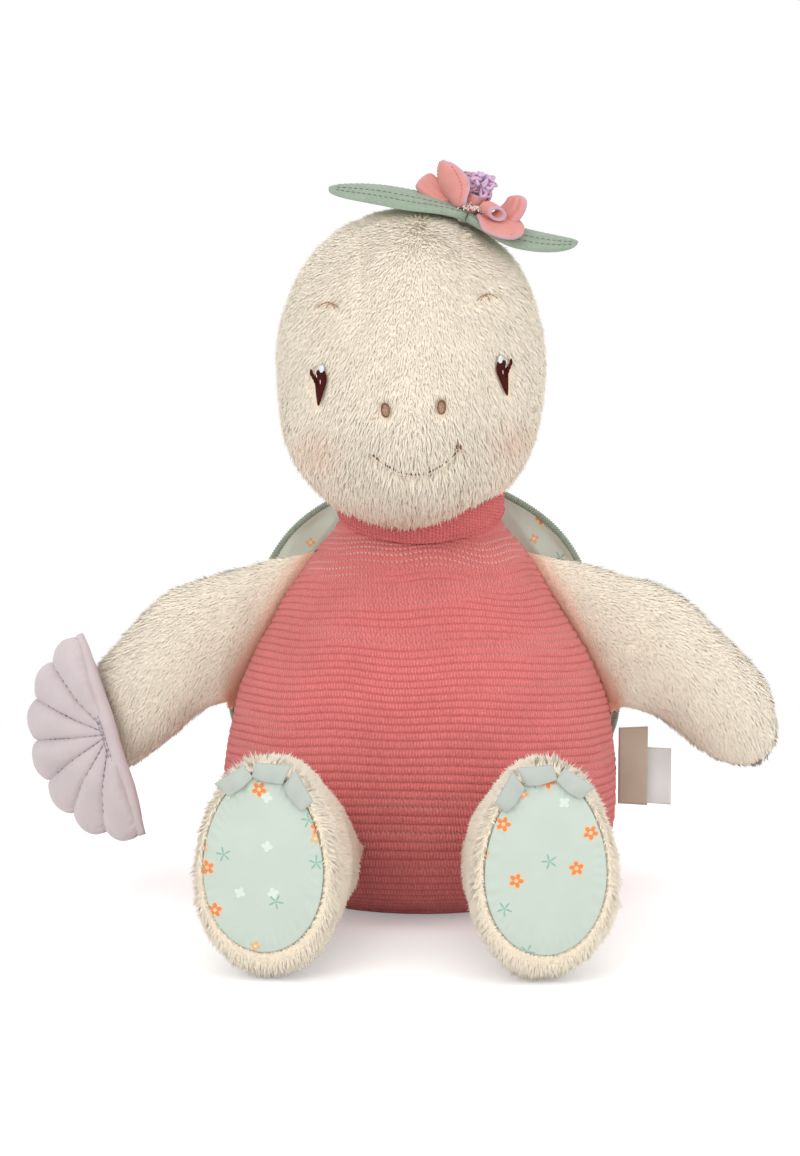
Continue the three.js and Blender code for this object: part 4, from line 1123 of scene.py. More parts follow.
@dataclass
class Body:
    """The pear-shaped corduroy body, its collar and its filling in the neck."""

    neck: Neck
    width: float = 175
    depth: float = 149
    height: float = 172
    widest: float = 56
    squareness: float = 3.5
    seat: float = 0.5
    base_height: float = 4.4
    wale: float = 3.3
    wale_depth: float = 0.6
    rows_per_wale: int = 6
    columns: int = 150
    cloth: float = 1.2
    collar_ribs: int = 73
    plug_sink: float = 9

    def half(self, z: Any) -> Array:
        """Half the width at a height: (1 - t^n)^(1/n) below the widest height, and
        a cosine taper to the neck above it.

        Args:
            z: heights.

        Returns:
            Half the width at each.
        """
        z = np.asarray(z, float)
        half = self.width / 2
        up = np.clip((z - self.widest) / (self.height - self.widest), 0, 1)
        upper = mix(half, self.neck.width / 2, 1 - np.cos(PI / 2 * up))
        low = np.clip((self.widest - z) / (self.widest + self.seat), 0, 1)
        lower = half * (1 - low ** self.squareness) ** (1 / self.squareness)
        return np.where(z > self.widest, upper, lower)

    @property
    def ratio(self) -> float:
        """The depth over the width."""
        return self.depth / self.width

    def back(self, across: Array, height: Array) -> Array:
        """How far the back reaches at a place across and up."""
        return self.ratio * np.sqrt(np.maximum(0, self.half(height) ** 2 - across ** 2))

    def profile(self) -> tuple[Array, Array]:
        """Heights at an even pitch along the body's outline, and the wales up to each.

        Returns:
            The heights, and the count of wales below each.
        """
        fine = np.linspace(0, 1, 4000)
        low = self.widest - (self.widest - self.base_height) * np.cos(PI / 2 * fine)
        z = np.concatenate([low, mix(self.widest, self.height, fine[1:])])
        run = np.concatenate([[0], np.cumsum(np.hypot(np.diff(z), np.diff(self.half(z)) * 0.93))])
        wales = int(run[-1] / self.wale)
        rows = np.linspace(0, wales, wales * self.rows_per_wale + 1)
        return np.interp(rows / wales * run[-1], run, z), rows

    def panel(self, name: str, start: float, nodes: Sequence[str]) -> None:
        """One half of the body's cloth, from a side seam half a turn round to the other.

        The point at angle a and height z is (w cos a, r w sin a, z), drawn in by the wales
        and at the seams, and carried over onto the neck's oval near its top.

        Args:
            name: the piece's name.
            start: the angle of its first seam.
            nodes: the CAD nodes that it stands for.
        """
        z, row = self.profile()
        angle = start + np.linspace(0, PI, self.columns)
        a, height = np.meshgrid(angle, z)
        slack = smooth(height, 6, 60) * (1 - smooth(height, 150, self.height))
        around = np.stack([90 * np.cos(a), 90 * np.sin(a), height], -1)
        sag = 6.5 * np.maximum(0, -np.sin(a)) ** 1.5
        height = height + (sag + 1.2 * Ripple(60, 3).value(around)) * slack
        half = self.half(height)
        points = np.stack([half * np.cos(a), self.ratio * half * np.sin(a), height], -1)
        over = smooth(height, 158, self.height)
        neck = self.neck.ring(a, 0.0, mix(-9.0, 8.0, over))
        points = mix(points, neck, over[..., None])
        out = unit(np.stack([np.cos(a), np.sin(a) / self.ratio, np.zeros_like(a)], -1))
        ridge = np.abs(np.cos(PI * row))[:, None] ** 0.6 * np.ones_like(a)
        from_seam = half * np.minimum(a - start, start + PI - a)
        gathers = 0.5 * np.sin(from_seam / 2.1 + height) * bump_of(from_seam, 9) * 0.4
        uneven = 0.7 * Ripple(55, 4).value(points) + 0.35 * Ripple(22, 5).value(points)
        draw = (self.wale_depth * (ridge - 1) - 1.5 * bump_of(from_seam, 2.0) * (1 - over)
                + gathers + uneven * (1 - over) - 0.3)
        points += out * draw[..., None]
        worn = Ripple(40, 9).value(points * (0.5, 0.5, 3.0))
        stretch = 0.9 * smooth(height, 138, 150) * smooth(worn, -0.6, 0.5)
        stretch = np.maximum(stretch, 0.35 * smooth(worn, 0.4, 1.2))
        stretch = stretch * (1 - smooth(height, 163, 168))
        patch = grid(points, False, valley=(1 - ridge) ** 2, stretch=stretch,
                     round=(a - start - PI / 2) * half * 0.93,
                     row=(row[:, None] + 0.5) * np.ones_like(a))
        patch.outward(np.array([0, 0, 80.0]))
        thicken(add_piece(name, patch, CORDUROY, "torso", nodes), self.cloth)

    def base(self) -> None:
        """The flat seat: a disc of the same corduroy with its edge turned up."""
        share = np.linspace(0.02, 1, 40)
        a, s = np.meshgrid(full_turn(160), share)
        half = float(self.half(self.base_height)) - 0.4
        x, y = half * s * np.cos(a), self.ratio * half * s * np.sin(a)
        ridge = np.abs(np.cos(PI * y / self.wale)) ** 0.6
        rise = 0.2 + (self.base_height - 0.3) * s ** 9
        points = np.stack([x, y, rise + 0.4 * (1 - ridge) * (1 - s ** 6)], -1)
        patch = grid(points, True, (True, False), valley=(1 - ridge) ** 2, round=x,
                     row=y / self.wale + 0.5)
        patch.outward(np.array([0, 0, 40.0]))
        piece = add_piece("body_seat_cloth", patch, CORDUROY, "torso", ["body_base_panel"])
        thicken(piece, self.cloth)

    def collar(self) -> None:
        """The ribbed band: its section is a soft roll, and its ribs stand up the neck."""
        s, a = np.meshgrid(full_turn(22), full_turn(12 * self.collar_ribs))
        rib = np.abs(np.cos(a * self.collar_ribs)) ** 0.7
        face = np.cos(s) > 0
        proud = 1.7 + 1.5 * squared(np.cos(s), 0.6) + 0.45 * (rib - 1) * face
        middle = self.neck.collar / 2
        height = middle - 0.6 + (middle + 0.6) * squared(np.sin(s), 0.55)
        points = self.neck.ring(a, proud, height + 0.35 * np.sin(a * 5) * (np.sin(s) < 0))
        patch = hoop(points, valley=(1 - rib) ** 2, round=height, row=a * self.collar_ribs / PI)
        add_piece("neck_collar_rib", patch, RIB, "torso", ["neck_collar"])
        line = self.neck.ring(np.linspace(0, 2 * PI, 200), 3.1, 1.0)
        seam = stitches(line, 1.6, 0.6, 0.25, unit(line - self.neck.foot), 0.15)
        add_piece("neck_collar_stitches", seam, RIB, "torso")

    def plug(self) -> None:
        """The filled cloth tube inside the collar, round so that it can turn there."""
        height = np.linspace(-self.plug_sink, self.neck.collar, 24)
        a, h = np.meshgrid(full_turn(72), height)
        over = np.minimum(h + self.plug_sink, self.neck.collar - h)
        proud = -3.0 - 3.0 * (1 - smooth(over, 0, 4))
        patch = grid(self.neck.ring(a, proud, h), True, (True, True), (200, 22)).outward()
        add_piece("neck_plug_cloth", patch, FILL, "neck", ["neck_stuffing"])

    def build(self) -> None:
        """All the body's pieces."""
        self.panel("body_front_cloth", -PI, ["body_front_panel", "body_stuffing"])
        self.panel("body_back_cloth", 0.0, ["body_back_panel"])
        self.base()
        self.collar()
        self.plug()


# Head


@dataclass
class Head:
    """The squarish egg of a head with its muzzle, in three fur panels, and its face."""

    neck: Neck
    width: float = 119
    depth: float = 108
    height: float = 138
    crown: float = 2.1
    chin: float = 2.4
    rise: float = 64
    forward: float = 12
    shift: float = -4
    turned: float = 3
    seam: float = 20.5
    muzzle: tuple[float, float, float, float] = (13, 30, 38, 36)
    roll: float = 3
    sink: float = 2.2
    eye: tuple[float, float] = (38.6, -4.0)
    eye_size: tuple[float, float] = (4.4, 15.0)
    brow: tuple[float, float, float] = (33.5, 29.0, 9.0)
    nostril: tuple[float, float] = (11.7, -13.5)
    nostril_size: tuple[float, float] = (3.6, 5.6)
    mouth: tuple[float, float, float] = (36.0, -32.0, 9.0)
    cheek: tuple[float, float] = (41.0, -31.0)
    nods: tuple[float, float, float] = (8.0, 0.0, -10.0)
    tufts: int = 26000

    @property
    def place(self) -> Array:
        """The head's middle."""
        return np.array([self.shift, -self.neck.forward - self.forward,
                         self.neck.base + self.rise])

    def to_frame(self, points: Array) -> Array:
        """Points in the head's own frame, placed."""
        return turn(points, Z, self.turned) + self.place

    def to_head(self, points: Array) -> Array:
        """Placed points in the head's own frame."""
        return turn(points - self.place, Z, -self.turned)

    def on_face(self, points: Array) -> tuple[Array, Array]:
        """How far across and up the rolled face each of the head's points is."""
        c, s = np.cos(np.radians(self.roll)), np.sin(np.radians(self.roll))
        return points[..., 0] * c + points[..., 2] * s, points[..., 2] * c - points[..., 0] * s

    def smile(self, across: Array) -> Array:
        """The height of the smile's line: a parabola over its width."""
        width, up, sag = self.mouth
        return up - sag * (1 - (2 * across / width) ** 2)

    def dents(self, points: Array) -> Array:
        """How far the stitches pull the face in at each point: bells round the eyes and the
        nostrils and along the smile.

        Args:
            points: points in the head's own frame.

        Returns:
            The depth at each.
        """
        across, up = self.on_face(points)
        front = points[..., 1] < 0
        eye = bump_of(np.hypot(np.abs(across) - self.eye[0], (up - self.eye[1]) / 1.9), 6.5)
        nose = bump_of(np.hypot(np.abs(across) - self.nostril[0], up - self.nostril[1]), 4.5)
        line = bump_of(up - self.smile(across), 2.6) * smooth(-np.abs(across), -21, -15)
        return front * (1.9 * eye + 0.8 * nose + 1.3 * line)

    def front(self, across: Array, up: Array, proud: Any = 0.0) -> Array:
        """Points on the face at places across and up it, standing proud of the fur.

        Args:
            across: places across the rolled face.
            up: places up it.
            proud: how far the points stand off the fur's skin.

        Returns:
            The points, in the head's own frame.
        """
        c, s = np.cos(np.radians(self.roll)), np.sin(np.radians(self.roll))
        x, z = across * c - up * s, across * s + up * c
        power = np.where(z > 0, 2 / self.crown, 2 / self.chin)
        level = np.clip(np.abs(z) / (self.height / 2 + proud), 0, 1) ** (1 / power)
        wide = np.maximum(1 - level ** 2, 1e-6) ** (power / 2)
        side = np.clip(x / ((self.width / 2 + proud) * wide), -0.999, 0.999)
        deep = -np.sqrt(1 - side ** 2)
        bulge, w, h, drop = self.muzzle
        fade = np.exp(-((x / w) ** 2) - ((z + drop) / h) ** 2)
        y = (self.depth / 2 + proud) * wide * deep + bulge * fade * deep
        points = np.stack([x, y, z], -1)
        points[..., 1] += self.dents(points)
        return points

    def form(self, down: Array, round_: Array, margin: float) -> Array:
        """The head's surface at a polar angle down and an angle round, grown by a margin.

        x = a w cos r and y = b w sin r with w = sin^p down, and z = c cos^p down; the muzzle
        is a bell added to the front, and the stitched places are drawn in.

        Args:
            down: the angle from the crown, in radians.
            round_: the angle round from the right side.
            margin: how far the surface is grown.

        Returns:
            The points, in the head's own frame.
        """
        power = np.where(down < PI / 2, 2 / self.crown, 2 / self.chin)
        wide = np.sin(down) ** power
        z = (self.height / 2 + margin) * squared(np.cos(down), power)
        x = (self.width / 2 + margin) * wide * np.cos(round_)
        y = (self.depth / 2 + margin) * wide * np.sin(round_)
        bulge, w, h, drop = self.muzzle
        fade = np.exp(-((x / w) ** 2) - ((z + drop) / h) ** 2)
        y = y + bulge * fade * np.minimum(0, np.sin(round_))
        points = np.stack([x, y, z], -1)
        points[..., 1] += self.dents(points)
        seam = bump_of(np.abs(x) - self.seam, 2.2) * smooth(z, -5, 30)
        points *= (1 - (0.6 * seam + 0.5 * Ripple(34, 12).value(points)) / 62)[..., None]
        return points

    def relieved(self, points: Array) -> tuple[Array, Array]:
        """Points lifted clear of the collar and shoulders at every nod, and how near each is.

        In the neck's frame a point beyond the collar by d is at least as high as -d, and one
        inside it stands above the collar.

        Args:
            points: points in the head's own frame.

        Returns:
            The lifted points, and their distance to what they were cleared of.
        """
        placed, near = self.to_frame(points), np.full(points.shape[:-1], 99.0)
        for nod in self.nods:
            local = turn(placed, X, nod, self.neck.pivot) - self.neck.foot
            h = local @ self.neck.axis
            y = local @ self.neck.ahead
            spread = np.hypot(local[..., 0] / (self.neck.width / 2), y / (self.neck.depth / 2))
            beyond = (spread - 1) * self.neck.width / 2 - 4.4
            floor = np.where(beyond > 0, -beyond, np.minimum(-beyond * 9, self.neck.collar + 2.5))
            lift = np.maximum(0, floor - h)
            wall = np.hypot(np.maximum(beyond + 1.0, 0), np.maximum(h - self.neck.collar, 0))
            near = np.minimum(near, np.minimum(h - floor, wall))
            raised = local + lift[..., None] * self.neck.axis + self.neck.foot
            placed = turn(raised, X, -nod, self.neck.pivot)
        return self.to_head(placed), near

    def eye_profile(self, t: Array) -> tuple[Array, Array]:
        """An eye's half width and its lean inwards, from its pointed foot (0) to its top (1).

        Args:
            t: the share of the eye's height.

        Returns:
            Half the width there, and the lean.
        """
        dome = np.clip(1 - ((t - 0.7) / 0.32) ** 2, 0, 1)
        rise = np.clip(t / 0.7, 0, 1) ** 0.8
        return self.eye_size[0] / 2 * rise * np.sqrt(np.where(t > 0.7, dome, 1)), 1.2 - 2.2 * t

    def keep_clear(self, points: Array) -> Array:
        """The share of the pile's length kept beside the embroidery.

        Args:
            points: points in the head's own frame.

        Returns:
            0 on the stitches, and 1 from 2.2 mm beside them.
        """
        across, up = self.on_face(points)
        away = np.full(across.shape, 9.0)
        for side in (-1, 1):
            t = (up - self.eye[1]) / self.eye_size[1] + 0.5
            half, lean = self.eye_profile(t)
            over = np.maximum(np.maximum(-3 * t, t - 1.15) * self.eye_size[1], 0)
            aside = np.abs(across - side * (self.eye[0] + lean)) - half - (t > 0.6) * 1.2
            away = np.minimum(away, np.hypot(np.maximum(aside, 0), over))
            nose = np.hypot((across - side * self.nostril[0]) / self.nostril_size[0],
                            (up - self.nostril[1]) / self.nostril_size[1])
            away = np.minimum(away, np.maximum(nose - 0.5, 0) * self.nostril_size[0]
                              * np.where(up < self.nostril[1] - 1, 3, 1))
            brow = self.brow_line(across - side * self.brow[0])
            on_brow = np.maximum(np.abs(across - side * self.brow[0]) - self.brow[2] / 2, 0)
            off_brow = np.where(up < brow, 3 * (up - brow), up - brow)
            away = np.minimum(away, np.hypot(on_brow, off_brow) - 0.1)
        beside = np.maximum(np.abs(across) - self.mouth[0] / 2, 0)
        over = up - self.smile(across)
        away = np.minimum(away, np.hypot(beside, np.where(over > 0, 0.6 * over, 2.5 * over)) - 0.2)
        kept = smooth(away, 0.0, 2.2)
        return np.where(points[..., 1] < 0, kept, 1.0)

    def brow_line(self, across: Array) -> Array:
        """The height of a brow's arc at a distance from its middle."""
        return self.brow[1] + self.brow[2] / 4 * (1 - (2 * across / self.brow[2]) ** 2)

    def panel(self, name: str, low: float, high: float, nodes: Sequence[str], seed: int) -> None:
        """One fur panel between two planes across the head.

        Each row at a polar angle runs over the part of its ring between the planes, so the
        panel's edges are its seams. The middle panel has a front and a back part.

        Args:
            name: the piece's name.
            low: the left plane's place.
            high: the right plane's place.
            nodes: the CAD nodes that it stands for.
            seed: the seed of its pile.
        """
        rows = 120
        down = mix(0.02, PI - 0.25, np.linspace(0, 1, rows))
        parts = []
        for back in ((False, True) if low < 0 < high else (None,)):
            power = np.where(down < PI / 2, 2 / self.crown, 2 / self.chin)
            reach = (self.width / 2 - self.sink) * np.sin(down) ** power
            left = np.arccos(np.clip(low / reach, -1, 1))
            right = np.arccos(np.clip(high / reach, -1, 1))
            share = np.linspace(0, 1, 70 if back is None else 60)
            if back is None:
                start, end = (right, 2 * PI - right) if high < 0 else (-left, left)
                angle = mix(start[:, None], end[:, None], share)
            else:
                angle = mix(right[:, None], left[:, None], share) * (1 if back else -1)
            d, r = np.broadcast_arrays(down[:, None], angle)
            parts.append(self.skin_of(*self.relieved(self.form(d, r, -self.sink))))
        skin = join(parts) if len(parts) > 1 else parts[0]
        local = self.to_head(skin.points)
        across, up = self.on_face(local)
        low_face = bump_of(across, 34) * smooth(-up, 6, 40) * (local[:, 1] < 0)
        whorl = np.array([4, -0.18 * self.depth, 0.49 * self.height])
        comb = turn(unit(local - whorl), Z, self.turned)
        seam = bump_of(np.abs(local[:, 0]) - self.seam, 1.6) * smooth(local[:, 2], -5, 30)
        near = skin.values.pop("near")
        trim = self.keep_clear(local) * smooth(near, -0.6, 4.5)
        trim = trim * (1 - 0.22 * seam) * (1 + 0.75 * low_face * smooth(near, 2, 9))
        fur = Coat(self.tufts, seed=seed).grow(skin, comb, trim)
        add_piece(name, fur, FUR, "head", nodes)

    def skin_of(self, points: Array, near: Array) -> Patch:
        """A panel's cloth with its cheek pink and painted pink bounce light, placed.

        Args:
            points: the panel's points in the head's own frame.
            near: how near each is to the collar.

        Returns:
            The placed cloth.
        """
        across, up = self.on_face(points)
        spot = np.hypot((np.abs(across) - self.cheek[0]), (up - self.cheek[1]) / 0.85)
        # Real sprayed pink on the cheeks, and painted pink bounce light from the body under the
        # chin.
        blush = (0.3 * bump_of(spot, 9.0) * (points[..., 1] < 0)
                 + 0.4 * smooth(-points[..., 2], 50, 66))
        skin = grid(points, False, blush=blush, near=near)
        return skin.outward(np.zeros(3)).moved(self.to_frame)

    def satin(self, name: str, node: str, edges: Callable[[Array], tuple[Array, Array]],
              low: float, high: float, finish: Finish, slant: float = 0.25, pad: float = 0.7,
              base: float = -0.4) -> None:
        """A patch of satin stitch: level threads side by side over an outline.

        Args:
            name: the piece's name.
            node: the CAD node that it stands for.
            edges: the outline's left and right edges at a height up the face.
            low: the outline's lowest height.
            high: its highest height.
            finish: the thread.
            slant: how far a thread rises over its length, in shares of it.
            pad: how far the patch's middle stands off its edges.
            base: how far its edges stand off the fur's surface.
        """
        count = max(4, int((high - low) / 0.36))
        up = np.linspace(low + 0.1, high - 0.1, count)
        left, right = edges(up)
        share = np.linspace(0, 1, 6)
        across = mix(left[:, None], right[:, None], share)
        height = up[:, None] + slant * (share - 0.5) * (right - left)[:, None]
        proud = base + pad * np.sin(PI * share) ** 0.6
        paths = self.to_frame(self.front(across, height, 0.0) - Y * proud[:, None])
        patch = tubes(paths, 0.27 * np.array([0.7, 1, 1, 1, 1, 0.7]), 6, -Y, 0.8)
        add_piece(name, patch, finish, "head", [node])

    def strokes(self, lines: Sequence[tuple[Array, Array]], thick: float,
                proud: float = 0.2) -> Patch:
        """Chain stitch along lines on the face: pairs of short threads laid in a row.

        Args:
            lines: places across and up the face, for each line.
            thick: the line's thickness.
            proud: how far it stands off.

        Returns:
            One patch of all the threads.
        """
        parts = []
        for across, up in lines:
            path = self.to_frame(self.front(across, up) - Y * proud)
            for shift in (-0.35, 0.35):
                parts.append(stitches(path + shift * thick * Z, 1.5, 0.1, thick * 0.42, -Y, 0.3))
        return join(parts)

    def face(self) -> None:
        """The eyes, brows, nostrils and smile."""
        across, top = self.eye[0], self.eye[1] + self.eye_size[1] / 2
        foot = self.eye[1] - self.eye_size[1] / 2
        for side in Side:
            sign, word = side.value, side.word

            def eye_edges(up: Array) -> tuple[Array, Array]:
                """The eye's edges at a height.

                Args:
                    up: heights up the face.

                Returns:
                    The left and right edges there.
                """
                half, lean = self.eye_profile((up - foot) / self.eye_size[1])
                middle = sign * (across + lean)
                return middle - half - 0.25, middle + half + 0.25

            self.satin(f"eye_{word}_stitching", f"eye_{word}", eye_edges, foot, top - 0.6,
                       DARK_THREAD, 0.25 * sign)
            t = np.linspace(0, 1, 12)
            lashes = [(sign * (across + root + bend * t ** 1.4), top - start + rise * t)
                      for root, bend, start, rise in (
                          (1.3, 2.3, 7.2, 7.0), (1.5, 2.5, 7.4, 6.4), (2.9, 0.9, 3.6, 3.6))]
            add_piece(f"eye_{word}_lashes", self.strokes(lashes, 1.0, 0.4), DARK_THREAD, "head")

            def glint_edges(up: Array) -> tuple[Array, Array]:
                """The glint's edges at a height."""
                half = 1.2 * np.sqrt(np.clip(1 - ((up - top - 0.2) / 1.7) ** 2, 0.02, 1))
                return sign * (across - 1.0) - half, sign * (across - 1.0) + half

            self.satin(f"eye_{word}_glint", f"eye_glint_{word}", glint_edges, top - 1.1, top + 1.7,
                       PALE_THREAD, pad=0.9)
            fleck = [(sign * (across - 0.2) + 0 * t, top - 6.2 + 2.2 * t),
                     (sign * (across + 1.1 + 0.6 * t), top - 3.4 + 3.2 * t)]
            add_piece(f"eye_{word}_fleck", self.strokes(fleck, 0.4, 1.0), PALE_THREAD, "head")
            u = np.linspace(-self.brow[2] / 2, self.brow[2] / 2, 16)
            brow = [(sign * (self.brow[0] + u), self.brow_line(u)),
                    (sign * (self.brow[0] + 0.45 * u - 1), self.brow_line(u) - 0.5)]
            add_piece(f"brow_{word}_stitching", self.strokes(brow, 0.45, 0.1), BROW_THREAD, "head",
                      [f"brow_{word}"])

            def nose_edges(up: Array) -> tuple[Array, Array]:
                """The nostril's edges at a height.

                Args:
                    up: heights up the face.

                Returns:
                    The left and right edges there.
                """
                off = (up - self.nostril[1]) / (self.nostril_size[1] / 2)
                half = self.nostril_size[0] / 2 * np.sqrt(np.clip(1 - off ** 2, 0.02, 1))
                return sign * self.nostril[0] - half, sign * self.nostril[0] + half

            reach = self.nostril_size[1] / 2
            self.satin(f"nostril_{word}_stitching", f"nostril_{word}", nose_edges,
                       self.nostril[1] - reach, self.nostril[1] + reach, NOSE_THREAD,
                       0.5 * sign, 0.5)
            a = np.linspace(0, 2 * PI, 24)
            rim = [(sign * self.nostril[0] + 0.48 * self.nostril_size[0] * np.cos(a),
                    self.nostril[1] + 0.48 * self.nostril_size[1] * np.sin(a))]
            add_piece(f"nostril_{word}_rim", self.strokes(rim, 0.5, 0.3), BROWN_THREAD, "head")
        u = np.linspace(-self.mouth[0] / 2, self.mouth[0] / 2, 60)
        v = np.linspace(0, 1, 10)
        end = self.mouth[0] / 2
        dimple = (end - 1.4 + 3.0 * v, self.mouth[1] + 1.6 + 0.6 * np.sin(PI * v) - 0.6 * v)
        patch = self.strokes([(u, self.smile(u)), dimple, (dimple[0], dimple[1] - 0.9)], 0.6, 0.6)
        add_piece("mouth_stitching", patch, BROWN_THREAD, "head", ["mouth"])

    def build(self) -> None:
        """The head's panels and its face."""
        self.panel("head_middle_fur", -self.seam, self.seam, ["head_gusset", "head_stuffing"], 21)
        self.panel("head_left_fur", -80, -self.seam, ["head_side_left"], 22)
        self.panel("head_right_fur", self.seam, 80, ["head_side_right"], 23)
        self.face()


# Limbs


@dataclass
class Fan:
    """The quilted fan shell, in the frame of its own straight edge."""

    radius: float = 47
    lobes: int = 7
    thickness: float = 15
    base: float = 6
    turned: float = 32
    tip: float = 22
    arm_share: float = 0.82
    gap: float = 0.4

    def basis(self, arm: "Arm") -> tuple[Array, Array, Array, Array]:
        """The fan's middle, and its ways out along the middle lobe, along its edge and to
        its face.

        Args:
            arm: the arm that the fan is sewn to.

        Returns:
            The middle and the three ways, each of length 1.
        """
        front = arm.thickness / 2 * float(arm.fullness(self.arm_share))
        centre = arm.line(self.arm_share) - Y * (front + self.thickness / 2 + self.gap)
        a, b = np.radians(self.turned), np.radians(self.tip)
        level = np.array([-np.cos(a), np.sin(a), 0])
        out = level * np.cos(b) - Z * np.sin(b)
        edge = -level * np.sin(b) - Z * np.cos(b)
        return centre, out, edge, np.cross(out, edge)

    def height(self, share: Array, angle: Array) -> Array:
        """Half the quilt's thickness: full between the stitched lines and pinched on them.

        Args:
            share: how far out, from 0 to 1.
            angle: how far round, in radians.

        Returns:
            Half the thickness there.
        """
        puff = np.abs(np.sin(self.lobes * (angle + PI / 2))) ** 0.55
        belly = mix(self.base, self.thickness, smooth(share, 0.05, 0.55)) / 2
        rim = np.sqrt(np.clip(1 - 0.97 * share ** 6, 0, 1))
        return belly * rim * mix(0.55, 1.0, puff) ** (0.4 + share)

    def reach(self, share: Array, angle: Array) -> Array:
        """The distance out: the rim is drawn in at the stitched lines."""
        puff = np.abs(np.sin(self.lobes * (angle + PI / 2))) ** 0.6
        return self.radius * share * mix(1.0, mix(0.9, 1.0, puff), share ** 2)

    def build(self, arm: "Arm") -> None:
        """The front, the back, the binding on the straight edge and the stitched lines.

        Args:
            arm: the arm that the fan is sewn to.
        """
        centre, out, edge, face = self.basis(arm)

        def placed(share: Array, angle: Array, high: Array) -> Array:
            """Places points of the quilt.

            Args:
                share: how far out, from 0 to 1.
                angle: how far round, in radians.
                high: the height off the quilt's middle.

            Returns:
                The points.
            """
            r = self.reach(share, angle)
            return (centre + (r * np.cos(angle))[..., None] * out
                    + (r * np.sin(angle))[..., None] * edge
                    + high[..., None] * face)

        share = np.concatenate([[0.05], np.linspace(0.1, 0.9, 26), np.linspace(0.92, 1, 9)])
        a, s = np.meshgrid(np.linspace(-PI / 2, PI / 2, self.lobes * 22 + 1), share)
        lines = np.abs(np.sin(self.lobes * (a + PI / 2)))
        wave = np.sin(2 * PI * s * self.radius / 4.2 + 2 * np.sin(7 * a))
        pucker = 0.5 * wave * bump_of(lines, 0.5) * smooth(s, 0.15, 0.4)
        flat = np.stack([s * self.radius * np.cos(a), s * self.radius * np.sin(a), 0 * a], -1)
        soft = (pucker + 0.4 * Ripple(18, 31).value(flat)) * (s < 0.97)
        high = self.height(s, a)
        for name, sign, puffed, nodes, finish in (
                ("fan_front_quilt", 1, high + soft, ["fan_front", "fan_wadding"], VELOUR),
                ("fan_back_quilt", -1, high, ["fan_back"], VELOUR_BACK_SHADED)):
            outer = placed(s, a, sign * np.maximum(puffed, 0.25))
            inner = placed(s * 0.985, a, np.full_like(a, sign * 0.05))
            add_piece(name, plate(outer, inner, (110, 47)), finish, "fan", nodes)
        t = np.linspace(-1, 1, 60)
        rim = (centre + (t * (self.radius - 1))[:, None] * edge + 0.4 * out
               + (0.4 * np.sin(9 * t))[:, None] * face)
        thick = mix(self.base / 2 + 0.3, 1.6, np.abs(t) ** 3)
        add_piece("fan_binding", tubes(rim[None], thick, 16, out), VELOUR, "fan")
        parts = []
        for k in range(1, self.lobes):
            run = np.linspace(0.12, 0.9 if k % 2 else 0.8, 40)
            ray = np.full_like(run, -PI / 2 + k * PI / self.lobes)
            line = placed(run, ray, self.height(run, ray) + 0.15)
            parts.append(stitches(line, 1.7, 0.9, 0.22, face, 0.25))
        for shift in (1.2, 2.6):
            line = (centre + (t[6:-6] * (self.radius - 6))[:, None] * edge + shift * out
                    + (self.base / 2 + 0.5) * face)
            parts.append(stitches(line, 1.8, 0.7, 0.22, face, 0.3))
        add_piece("fan_stitches", join(parts), LILAC_THREAD, "fan")


